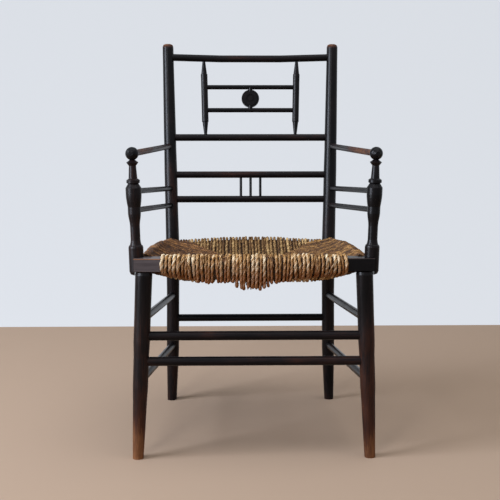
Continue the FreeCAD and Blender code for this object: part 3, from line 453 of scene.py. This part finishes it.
# a strand, and how its thickness and its middle line stray
strandSizes = {
    "diameter": 0.0064,
    "twistPitch": 0.026,
    "lobe": 0.15,
    "sample": 0.0042,
    "wobble": 0.0013,
    "sides": 12,
}
strandStray = {
    "wanderPerMetre": 62.0,  # the middle line sways every 16 mm or so
    "wanderDetail": 1.0,
    "thickPerMetre": 38.0,  # thick and thin take turns every 26 mm or so
    "thickDetail": 2.0,
    "noiseRange": (0.3, 0.7),
    "stretchGirth": (0.82, 1.14),  # of thin and of thick stretches
    "strandGirth": (0.84, 1.12),  # of slim and of stout strands
}


def buildStrandTree():  # sweeps a lobed section along every line; it turns once in a twist pitch
    tree = bpy.data.node_groups.new("rushStrands", "GeometryNodeTree")
    face = tree.interface
    face.new_socket("Geometry", in_out="INPUT", socket_type="NodeSocketGeometry")
    for label, kind in (
        ("Strand Diameter", "NodeSocketFloat"),
        ("Twist Pitch", "NodeSocketFloat"),
        ("Lobe", "NodeSocketFloat"),
        ("Sample Length", "NodeSocketFloat"),
        ("Wobble", "NodeSocketFloat"),
        ("Sides", "NodeSocketInt"),
        ("Seed", "NodeSocketInt"),
        ("Material", "NodeSocketMaterial"),
    ):
        face.new_socket(label, in_out="INPUT", socket_type=kind)
    face.new_socket("Geometry", in_out="OUTPUT", socket_type="NodeSocketGeometry")
    given = addNode(tree, "NodeGroupInput").outputs
    lines = addNode(
        tree,
        "GeometryNodeResampleCurve",
        {"Curve": given["Geometry"], "Length": given["Sample Length"]},
        mode="LENGTH",
    )
    spline = addNode(tree, "GeometryNodeSplineParameter").outputs
    strand = addNode(tree, "GeometryNodeCurveOfPoint").outputs["Curve Index"]
    tone = addNode(
        tree, "FunctionNodeRandomValue", {"ID": strand, "Seed": given["Seed"]}, data_type="FLOAT"
    ).outputs[1]
    for label, value in (("along", spline["Length"]), ("tone", tone)):
        lines = addNode(
            tree,
            "GeometryNodeStoreNamedAttribute",
            {"Geometry": lines, "Name": label, "Value": value},
            data_type="FLOAT",
            domain="POINT",
        )
    # a slight wander of the middle line, and thick and thin stretches
    place = addNode(tree, "GeometryNodeInputPosition")
    shifted = addNode(tree, "ShaderNodeVectorMath", {0: place, 1: tone}, operation="ADD")
    wander = addNode(
        tree,
        "ShaderNodeTexNoise",
        {"Vector": shifted, "Scale": strandStray["wanderPerMetre"], "Detail": strandStray["wanderDetail"]},
    ).outputs["Color"]
    wander = addNode(tree, "ShaderNodeVectorMath", {0: wander, 1: (0.5, 0.5, 0.5)}, operation="SUBTRACT")
    wander = addNode(tree, "ShaderNodeVectorMath", {0: wander, "Scale": given["Wobble"]}, operation="SCALE")
    lines = addNode(tree, "GeometryNodeSetPosition", {"Geometry": lines, "Offset": wander})
    thick = addNode(
        tree,
        "ShaderNodeTexNoise",
        {"Vector": shifted, "Scale": strandStray["thickPerMetre"], "Detail": strandStray["thickDetail"]},
    )
    low, high = strandStray["noiseRange"]
    thin, stout = strandStray["stretchGirth"]
    thick = addNode(tree, "ShaderNodeMapRange", {"Value": thick, 1: low, 2: high, 3: thin, 4: stout})
    thin, stout = strandStray["strandGirth"]
    girth = addNode(tree, "ShaderNodeMapRange", {"Value": tone, 1: 0.0, 2: 1.0, 3: thin, 4: stout})
    thick = addNode(tree, "ShaderNodeMath", {0: thick, 1: girth}, operation="MULTIPLY")
    turn = addNode(tree, "ShaderNodeMath", {0: 2 * math.pi, 1: given["Twist Pitch"]}, operation="DIVIDE")
    tilt = addNode(tree, "ShaderNodeMath", {0: tone, 1: 2 * math.pi}, operation="MULTIPLY")
    tilt = addNode(
        tree, "ShaderNodeMath", {0: spline["Length"], 1: turn, 2: tilt}, operation="MULTIPLY_ADD"
    )
    lines = addNode(tree, "GeometryNodeSetCurveTilt", {"Curve": lines, "Tilt": tilt})
    # the section: a circle drawn in between its two lobes
    half = addNode(tree, "ShaderNodeMath", {0: given["Strand Diameter"], 1: 0.5}, operation="MULTIPLY")
    section = addNode(
        tree, "GeometryNodeCurvePrimitiveCircle", {"Resolution": given["Sides"], "Radius": half}
    )
    share = addNode(tree, "GeometryNodeSplineParameter").outputs["Factor"]
    angle = addNode(tree, "ShaderNodeMath", {0: share, 1: 2 * math.pi}, operation="MULTIPLY")
    lobes = addNode(tree, "ShaderNodeMath", {0: share, 1: 4 * math.pi}, operation="MULTIPLY")
    lobes = addNode(tree, "ShaderNodeMath", {0: lobes}, operation="COSINE")
    lobes = addNode(tree, "ShaderNodeMath", {0: lobes, 1: given["Lobe"], 2: 1.0}, operation="MULTIPLY_ADD")
    spot = addNode(tree, "GeometryNodeInputPosition")
    spot = addNode(tree, "ShaderNodeVectorMath", {0: spot, "Scale": lobes}, operation="SCALE")
    section = addNode(tree, "GeometryNodeSetPosition", {"Geometry": section, "Position": spot})
    for label, turned in (("roundX", "COSINE"), ("roundY", "SINE")):
        value = addNode(tree, "ShaderNodeMath", {0: angle}, operation=turned)
        section = addNode(
            tree,
            "GeometryNodeStoreNamedAttribute",
            {"Geometry": section, "Name": label, "Value": value},
            data_type="FLOAT",
            domain="POINT",
        )
    woven = addNode(
        tree,
        "GeometryNodeCurveToMesh",
        {"Curve": lines, "Profile Curve": section, "Scale": thick, "Fill Caps": True},
    )
    woven = addNode(tree, "GeometryNodeSetShadeSmooth", {"Geometry": woven})
    woven = addNode(tree, "GeometryNodeRealizeInstances", {"Geometry": woven})
    woven = addNode(tree, "GeometryNodeSetMaterial", {"Geometry": woven, "Material": given["Material"]})
    addNode(tree, "NodeGroupOutput", {"Geometry": woven})
    return tree


strandTree = buildStrandTree()


def weave(name, lines, material, seed, **changes):  # middle lines into one mesh of strands
    curve = bpy.data.curves.new(name + "Lines", "CURVE")
    curve.dimensions = "3D"
    for line in lines:
        spline = curve.splines.new("POLY")
        spline.points.add(len(line) - 1)
        for point, spot in zip(spline.points, line):
            point.co = (spot.x, spot.y, spot.z, 1.0)
    holder = bpy.data.objects.new(name + "Lines", curve)
    bpy.context.scene.collection.objects.link(holder)
    modifier = holder.modifiers.new("rushStrands", "NODES")
    modifier.node_group = strandTree
    sizes = dict(strandSizes, **changes)
    values = {
        "Strand Diameter": sizes["diameter"],
        "Twist Pitch": sizes["twistPitch"],
        "Lobe": sizes["lobe"],
        "Sample Length": sizes["sample"],
        "Wobble": sizes["wobble"],
        "Sides": sizes["sides"],
        "Seed": seed,
        "Material": material,
    }
    for item in strandTree.interface.items_tree:
        if item.item_type == "SOCKET" and item.in_out == "INPUT" and item.name in values:
            modifier[item.identifier] = values[item.name]
    bpy.context.view_layer.update()
    graph = bpy.context.evaluated_depsgraph_get()
    mesh = bpy.data.meshes.new_from_object(holder.evaluated_get(graph))
    mesh.name = name
    bpy.data.objects.remove(holder)
    piece = bpy.data.objects.new(name, mesh)
    bpy.context.scene.collection.objects.link(piece)
    mesh.materials.clear()
    mesh.materials.append(material)
    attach(piece, "root")
    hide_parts("rush_seat")
    print(name, len(lines), "strands,", len(mesh.polygons), "faces")


# rush seat: the rails it is wound on, and the seams where its four fields meet
rushSizes = {
    "middleY": -0.0165,
    "middleTop": 0.3600,
    "middleLow": 0.344,
    "ringLow": 0.357,
    "ringShare": 0.33,
    "dish": 0.66,
    "bulge": 0.0020,
    "seamDive": 0.0035,
    "diveLength": 0.010,
    "frontRailY": -0.223875,
    "frontRailZ": 0.40425,
    "frontSeam": (0.1866, -0.2069),
    "frontEnd": 0.1818,
    "frontCount": 48,
    "backRailY": 0.16431,
    "backRailZ": 0.381,
    "backSeam": (0.150, 0.16431),
    "backEnd": 0.147,
    "backCount": 40,
    "backDiameter": 0.0063,
    "leastReach": 0.003,
    "cornerXs": (0.1537, 0.1600, 0.1662),
    "cornerReach": 0.0165,
    "sideRailFront": (0.213, -0.206875, 0.40425),
    "sideRailBack": (0.1864, 0.16431, 0.387),
    "sideStart": -0.2035,
    "sideEnd": 0.1440,
    "sideCount": 52,
    "sideDiameter": 0.0056,
    "leastSideReach": 0.012,
    "leastSeamShare": 0.08,
}
# how far the strands' middles stand off a rail's axis; along the back and sides, by the share of its length
frontRadius = 0.0172
backRadii = [(0.0, 0.0148), (0.25, 0.0200), (0.5, 0.0214), (0.75, 0.0200), (1.0, 0.0148)]
sideRadii = [(0.0, 0.0168), (0.15, 0.0190), (0.35, 0.0222), (0.6, 0.0205), (0.85, 0.0155), (1.0, 0.0142)]
# how far the old rush hangs under the front rail, from the left end to the right
frontDroops = [
    (-0.183, 0.0005), (-0.150, 0.0055), (-0.100, 0.0165), (-0.030, 0.0180),
    (0.030, 0.0175), (0.066, 0.0140), (0.120, 0.0060), (0.183, 0.0010),
]
# a strand's line: its steps, how it hangs where the rush droops, and how it sways and crosses over
lineSizes = {
    "step": 0.006,
    "fewestSteps": 3,
    "turnSteps": 12,
    "fullHang": 0.02,
    "hangShare": 0.75,
    "droopFrom": 0.6,  # the sine of the turn's angle; it is -1 at the very bottom
    "droopFade": 0.06,
    "sway": 0.0011,
    "slowWave": 7,
    "fastWave": 17,
    "fastShare": 0.5,
    "phase": 3,
    "crossing": (0.38, 0.62),
}


def tableValue(table, place):
    for (low, first), (high, last) in zip(table, table[1:]):
        if place <= high:
            return first + (last - first) * max(place - low, 0.0) / (high - low)
    return table[-1][1]


def smoothStep(low, high, value):
    share = min(max((value - low) / (high - low), 0.0), 1.0)
    return share * share * (3 - 2 * share)


def strandLine(rail, inward, reach, span, radius, droop=0.0, lean=0.0, sway=None, inset=0.0):
    # from the seam above, over the rail and under it, back to the seam below; reach is how far the
    # seam lies from the rail's axis, span how far the middle of the seat does
    radius -= inset
    top = rushSizes["middleTop"] - inset
    low = rushSizes["middleLow"] + inset
    ring = rushSizes["ringLow"] + inset
    ringShare = rushSizes["ringShare"]
    diveFrom = reach - rushSizes["diveLength"]
    sideways = Vector((-inward.y, inward.x, 0.0))
    steps = max(lineSizes["fewestSteps"], int(reach / lineSizes["step"]))
    turnSteps = lineSizes["turnSteps"]
    points = []
    for number in range(steps):
        distance = reach * (1 - number / steps)
        share = min(distance / span, 1.0)
        height = rail.z + radius + (top - rail.z - radius) * share ** rushSizes["dish"]
        height -= rushSizes["seamDive"] * smoothStep(diveFrom, reach, distance)
        points.append(rail + inward * distance + Vector((0, 0, height - rail.z)))
    for number in range(turnSteps + 1):
        angle = math.pi / 2 - math.pi * number / turnSteps
        out = radius * math.cos(angle)
        if angle < 0 and droop:
            out = max(out, radius * min(droop / lineSizes["fullHang"], lineSizes["hangShare"]))
        rise = radius * math.sin(angle) - droop * smoothStep(lineSizes["droopFrom"], -1.0, math.sin(angle))
        points.append(rail - inward * out + Vector((0, 0, rise)))
    for number in range(1, steps + 1):
        distance = reach * number / steps
        share = min(distance / span, 1.0)
        if share < ringShare:
            height = rail.z - radius + (ring - rail.z + radius) * share / ringShare
        else:
            height = ring + (low - ring) * (share - ringShare) / (1 - ringShare)
        height -= droop * (1 - smoothStep(0.0, lineSizes["droopFade"], distance))
        height += rushSizes["seamDive"] * smoothStep(diveFrom, reach, distance)
        points.append(rail + inward * distance + Vector((0, 0, height - rail.z)))
    if not sway:
        return points
    swayed = []
    for number, point in enumerate(points):
        share = number / (len(points) - 1)
        slow = sway[0] * math.sin(share * lineSizes["slowWave"] + sway[1] * lineSizes["phase"])
        fast = sway[2] * math.sin(share * lineSizes["fastWave"] + sway[3] * lineSizes["phase"])
        shift = slow + fast * lineSizes["fastShare"]
        over = smoothStep(*lineSizes["crossing"], share) - 0.5
        swayed.append(point + sideways * (shift * lineSizes["sway"] + lean * over))
    return swayed


def seamAt(x, corner):  # how far back a seam lies, on its way from the seat's middle to a corner
    middleY = rushSizes["middleY"]
    return middleY + (corner[1] - middleY) * min(abs(x) / corner[0], 1.0)


def frontLine(x, droop, radius=frontRadius, lean=0.0, sway=None, inset=0.0):
    rail = Vector((x, rushSizes["frontRailY"], rushSizes["frontRailZ"]))
    reach = seamAt(x, rushSizes["frontSeam"]) - rail.y
    span = rushSizes["middleY"] - rail.y
    return strandLine(rail, Vector((0, 1, 0)), reach, span, radius, droop, lean, sway, inset)


def backLine(x, radiusScale=1.0, lean=0.0, sway=None, inset=0.0, leastReach=rushSizes["leastReach"]):
    rail = Vector((x, rushSizes["backRailY"], rushSizes["backRailZ"]))
    reach = max(rail.y - seamAt(x, rushSizes["backSeam"]), leastReach)
    span = rail.y - rushSizes["middleY"]
    radius = tableValue(backRadii, 0.5 + x / (2 * rushSizes["backEnd"])) * radiusScale
    return strandLine(rail, Vector((0, -1, 0)), reach, span, radius, 0.0, lean, sway, inset)


def sideLine(side, y, radiusScale=1.0, lean=0.0, sway=None, inset=0.0):
    front = Vector(rushSizes["sideRailFront"])
    back = Vector(rushSizes["sideRailBack"])
    share = (y - front.y) / (back.y - front.y)
    rail = front.lerp(back, share)
    middleY = rushSizes["middleY"]
    seamX, seamY = rushSizes["frontSeam"] if y < middleY else rushSizes["backSeam"]
    reach = max(rail.x - seamX * (y - middleY) / (seamY - middleY), rushSizes["leastSideReach"])
    radius = tableValue(sideRadii, share) * radiusScale
    # at the seam it lies as deep as the front or back strand it meets there
    farY = rushSizes["frontRailY"] if y < middleY else rushSizes["backRailY"]
    seamShare = max((y - farY) / (middleY - farY), rushSizes["leastSeamShare"])
    rail.x *= side
    return strandLine(rail, Vector((-side, 0, 0)), reach, reach / seamShare, radius, 0.0, lean, sway, inset)


def evenly(first, last, count):
    return [first + (last - first) * number / (count - 1) for number in range(count)]


dice = random.Random(11)


def roll(spread):
    return dice.uniform(-spread, spread)


def rollSway():
    return [roll(1.0) for number in range(4)]


# how unevenly the strands lie: places and leans in metres, radii and the tuft as shares
unevenSizes = {
    "frontPlace": 0.0009,
    "frontLean": 0.0034,
    "frontRadius": (0.96, 1.07),
    "frontDroop": 0.0011,
    "frontDroopShare": 0.09,
    "backPlace": 0.0008,
    "backLean": 0.0015,
    "backRadius": (0.96, 1.06),
    "sidePlace": 0.0010,
    "sideLean": 0.0030,
    "sideRadius": (0.93, 1.07),
    "cornerRadius": (1.02, 1.08),
    "tuft": (0.6, 1.2),
}
# the loose tuft at the middle of the front, where the strands hang lowest
tuftSizes = {
    "droop": 0.0125,
    "middle": -0.002,
    "from": 0.042,
    "full": 0.024,
}
frontLines = []
for x in evenly(-rushSizes["frontEnd"], rushSizes["frontEnd"], rushSizes["frontCount"]):
    droop = tableValue(frontDroops, x)
    tuft = tuftSizes["droop"] * smoothStep(
        tuftSizes["from"], tuftSizes["full"], abs(x - tuftSizes["middle"])
    )
    loose = roll(unevenSizes["frontDroop"] + droop * unevenSizes["frontDroopShare"])
    droop = max(droop + loose + tuft * dice.uniform(*unevenSizes["tuft"]), 0.0)
    radius = frontRadius * dice.uniform(*unevenSizes["frontRadius"])
    startX = x + roll(unevenSizes["frontPlace"])
    line = frontLine(startX, droop, radius, roll(unevenSizes["frontLean"]), rollSway())
    for point in line:
        forward = max(rushSizes["frontRailY"] - point.y, 0.0) / radius
        point.x += rushSizes["bulge"] * forward * x / rushSizes["frontEnd"]
    frontLines.append(line)
weave("rushFront", frontLines, frontRush, seed=3)
backLines = []
for x in evenly(-rushSizes["backEnd"], rushSizes["backEnd"], rushSizes["backCount"]):
    startX = x + roll(unevenSizes["backPlace"])
    radiusScale = dice.uniform(*unevenSizes["backRadius"])
    backLines.append(backLine(startX, radiusScale, roll(unevenSizes["backLean"]), rollSway()))
weave("rushBack", backLines, backRush, seed=5, diameter=rushSizes["backDiameter"])
for side, label, finish in ((-1, "rushLeft", leftRushPaintedShade), (1, "rushRight", rightRushPaintedLight)):
    sideLines = []
    for y in evenly(rushSizes["sideStart"], rushSizes["sideEnd"], rushSizes["sideCount"]):
        startY = y + roll(unevenSizes["sidePlace"])
        radiusScale = dice.uniform(*unevenSizes["sideRadius"])
        sideLines.append(sideLine(side, startY, radiusScale, roll(unevenSizes["sideLean"]), rollSway()))
    for x in rushSizes["cornerXs"]:  # the turns beside the post, over the back rail
        radiusScale = dice.uniform(*unevenSizes["cornerRadius"])
        sideLines.append(backLine(side * x, radiusScale, leastReach=rushSizes["cornerReach"]))
    weave(label, sideLines, finish, seed=7 + side, diameter=rushSizes["sideDiameter"])

# broken straws that hang from the middle of the front
strawSizes = {
    "count": 34,
    "halfWidth": 0.031,
    "middle": -0.002,
    "startY": -0.2305,
    "startSpread": 0.0065,
    "top": 0.380,
    "topFall": 0.002,  # at the sides of the tuft
    "bottom": 0.3515,
    "bottomRise": 0.012,
    "bottomSpread": 0.007,
    "driftX": 0.008,
    "driftY": 0.004,
    "curl": 0.003,
    "steps": 7,
}
# loose leaves that stray over the front, each a stretch of a line that leans
straySizes = {
    "count": 16,
    "halfWidth": 0.165,
    "droopShares": (0.5, 0.9),
    "standOff": 0.0027,
    "lean": 0.016,
    "startShares": (0.30, 0.42),
    "points": (9, 14),
}
# each straw or leaf is thin, folded flat and nearly straight
strawStrand = {"diameter": 0.0021, "lobe": 0.4, "wobble": 0.0008, "sides": 6, "sample": 0.003}
straws = []
for number in range(strawSizes["count"]):
    x = strawSizes["middle"] + dice.triangular(-strawSizes["halfWidth"], strawSizes["halfWidth"], 0.0)
    off = abs(x - strawSizes["middle"]) / strawSizes["halfWidth"]
    startY = strawSizes["startY"] + roll(strawSizes["startSpread"])
    start = Vector((x, startY, strawSizes["top"] - strawSizes["topFall"] * off))
    bottom = strawSizes["bottom"] + strawSizes["bottomRise"] * off
    bottom += dice.uniform(0.0, strawSizes["bottomSpread"])
    drift = Vector((roll(strawSizes["driftX"]), roll(strawSizes["driftY"]), 0.0))
    curl = roll(strawSizes["curl"])
    line = []
    for share in evenly(0.0, 1.0, strawSizes["steps"] + 1):
        height = Vector((0, 0, (bottom - start.z) * share))
        line.append(start + drift * share + height + Vector((curl * math.sin(share * math.pi), 0, 0)))
    straws.append(line)
for number in range(straySizes["count"]):
    x = roll(straySizes["halfWidth"])
    droop = tableValue(frontDroops, x) * dice.uniform(*straySizes["droopShares"])
    line = frontLine(x, droop, frontRadius + straySizes["standOff"], roll(straySizes["lean"]), rollSway())
    first = int(len(line) * dice.uniform(*straySizes["startShares"]))
    straws.append(line[first:first + dice.randint(*straySizes["points"])])
weave("rushStraws", straws, frontRush, seed=13, **strawStrand)


def skin(shell, lines, samples):  # one closed wedge of packing, from neighbouring lines
    rows = []
    for line in lines:
        lengths = [0.0]
        for first, last in zip(line, line[1:]):
            lengths.append(lengths[-1] + (last - first).length)
        spots = []
        link = 0
        for number in range(samples + 1):
            target = lengths[-1] * number / samples
            while link < len(line) - 2 and lengths[link + 1] < target:
                link += 1
            share = (target - lengths[link]) / max(lengths[link + 1] - lengths[link], 1e-9)
            spots.append(line[link].lerp(line[link + 1], min(share, 1.0)))
        rows.append([shell.verts.new(spot) for spot in spots])
    for low, high in zip(rows, rows[1:]):
        for number in range(samples):
            shell.faces.new((low[number], low[number + 1], high[number + 1], high[number]))
        shell.faces.new((low[0], high[0], high[-1], low[-1]))
    shell.faces.new(rows[0])
    shell.faces.new(list(reversed(rows[-1])))


packingSizes = {
    "inset": 0.0036,
    "rows": 41,
    "samples": 32,
    "pastSide": 0.004,
}
inset = packingSizes["inset"]
rows = packingSizes["rows"]
shell = bmesh.new()
frontXs = evenly(-rushSizes["frontEnd"], rushSizes["frontEnd"], rows)
frontStrips = [frontLine(x, tableValue(frontDroops, x), inset=inset) for x in frontXs]
skin(shell, frontStrips, packingSizes["samples"])
backXs = evenly(-rushSizes["backEnd"], rushSizes["backEnd"], rows)
skin(shell, [backLine(x, inset=inset) for x in backXs], packingSizes["samples"])
sideYs = evenly(rushSizes["sideStart"], rushSizes["middleY"], rows // 2)
sideYs += evenly(rushSizes["middleY"], rushSizes["sideEnd"] + packingSizes["pastSide"], rows // 2)[1:]
for side in (-1, 1):
    skin(shell, [sideLine(side, y, inset=inset) for y in sideYs], packingSizes["samples"])
bmesh.ops.recalc_face_normals(shell, faces=shell.faces)
mesh = bpy.data.meshes.new("rushPackingBody")
shell.to_mesh(mesh)
shell.free()
piece = bpy.data.objects.new("rushPackingBody", mesh)
bpy.context.scene.collection.objects.link(piece)
mesh.materials.append(packingAndPaintedShade)
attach(piece, "root")
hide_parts("rush_seat")
print("rush seat woven and packed")


# floor, and a backdrop that lies on it behind the chair and sweeps up
stageSizes = {
    "floor": "#b39c87",
    "backdrop": "#e0e4ea",
    "backdropShown": 0.85,
    "around": "#dbdfe6",
    "skylight": "#e6e9ee",
    "skylightStrength": 0.38,
    "paintRoughness": 0.85,
    "edgeY": 0.96,
    "sweep": 3.4,
    "steps": 24,
    "reach": 3.8,
    "height": 7.0,
}


def seenStraight(tree):  # 1 where the camera, a gloss or a glass looks at it, 0 where it only lights
    rays = addNode(tree, "ShaderNodeLightPath").outputs
    seen = rays["Is Camera Ray"]
    for kind in ("Is Glossy Ray", "Is Transmission Ray"):
        seen = addNode(tree, "ShaderNodeMath", {0: seen, 1: rays[kind]}, operation="ADD", use_clamp=True)
    return seen


halfWidth = stageSizes["reach"]
edgeY = stageSizes["edgeY"]
sweep = stageSizes["sweep"]
profile = [(edgeY, 0.0)]
for angle in evenly(0.0, math.pi / 2, stageSizes["steps"])[1:]:
    profile.append((edgeY + sweep * math.sin(angle), sweep * (1 - math.cos(angle))))
profile.append((edgeY + sweep, stageSizes["height"]))
for panelName, tint, outline in (
    ("floor", stageSizes["floor"], [(-halfWidth, 0.0), (edgeY, 0.0)]),
    ("backdrop", stageSizes["backdrop"], profile),
):
    # matt painted board: chalky and even, with no shine
    paint, tree = newMaterial(panelName + "Paint")
    surface = addNode(
        tree,
        "ShaderNodeBsdfPrincipled",
        {"Base Color": linear(tint), "Roughness": stageSizes["paintRoughness"], "Specular IOR Level": 0.0},
    )
    if panelName == "backdrop":  # shows pale of its own accord, with no more light on the chair
        glow = addNode(tree, "ShaderNodeEmission", {"Color": linear(tint)})
        shown = addNode(
            tree,
            "ShaderNodeMath",
            {0: seenStraight(tree), 1: stageSizes["backdropShown"]},
            operation="MULTIPLY",
        )
        surface = addNode(tree, "ShaderNodeMixShader", {0: shown, 1: surface, 2: glow})
    addNode(tree, "ShaderNodeOutputMaterial", {"Surface": surface})
    corners = [(x, y, z) for y, z in outline for x in (-halfWidth, halfWidth)]
    mesh = bpy.data.meshes.new(panelName)
    mesh.from_pydata(corners, [], [(n, n + 1, n + 3, n + 2) for n in range(0, len(corners) - 2, 2)])
    mesh.materials.append(paint)
    for face in mesh.polygons:
        face.use_smooth = True
    panel = bpy.data.objects.new(panelName, mesh)
    bpy.context.scene.collection.objects.link(panel)

# place, aim, width, height, watts, colour, and whether it lights the chair or only shows as sheen on it
lampSizes = {
    "window": ((-3.0, -1.2, 2.3), (0, 0.1, 0.4), 1.5, 1.6, 125, "#e6edfd", True),
    "ceiling": ((0.2, -0.6, 3.4), (0, 0.3, 0.2), 3.4, 2.4, 54, "#f7f7fa", True),
    "fill": ((-1.5, -3.3, 2.0), (0, 0, 0.45), 0.7, 1.2, 24, "#f6f4f6", True),
    "sideSheen": ((-2.6, -1.5, 0.9), (0, 0, 0.45), 1.6, 1.4, 155, "#dfe7f6", False),
}
for lampName, (place, aim, width, height, power, tint, lights) in lampSizes.items():
    light = bpy.data.lights.new(lampName, "AREA")
    light.shape = "RECTANGLE"
    light.size = width
    light.size_y = height
    light.energy = power
    light.color = linear(tint)[:3]
    lamp = bpy.data.objects.new(lampName, light)
    lamp.location = place
    lamp.rotation_euler = (Vector(aim) - Vector(place)).to_track_quat("-Z", "Y").to_euler()
    lamp.visible_diffuse = lights
    lamp.visible_camera = lights
    bpy.context.scene.collection.objects.link(lamp)

# the world lights as a dim sky, and looks as pale as the backdrop
world = bpy.data.worlds.new("studio")
bpy.context.scene.world = world
world.use_nodes = True
tree = world.node_tree
tree.nodes.clear()
lit = addNode(
    tree,
    "ShaderNodeBackground",
    {"Color": linear(stageSizes["skylight"]), "Strength": stageSizes["skylightStrength"]},
)
shown = addNode(tree, "ShaderNodeBackground", {"Color": linear(stageSizes["around"]), "Strength": 1.0})
around = addNode(tree, "ShaderNodeMixShader", {0: seenStraight(tree), 1: lit, 2: shown})
addNode(tree, "ShaderNodeOutputWorld", {"Surface": around})

print("scene done")
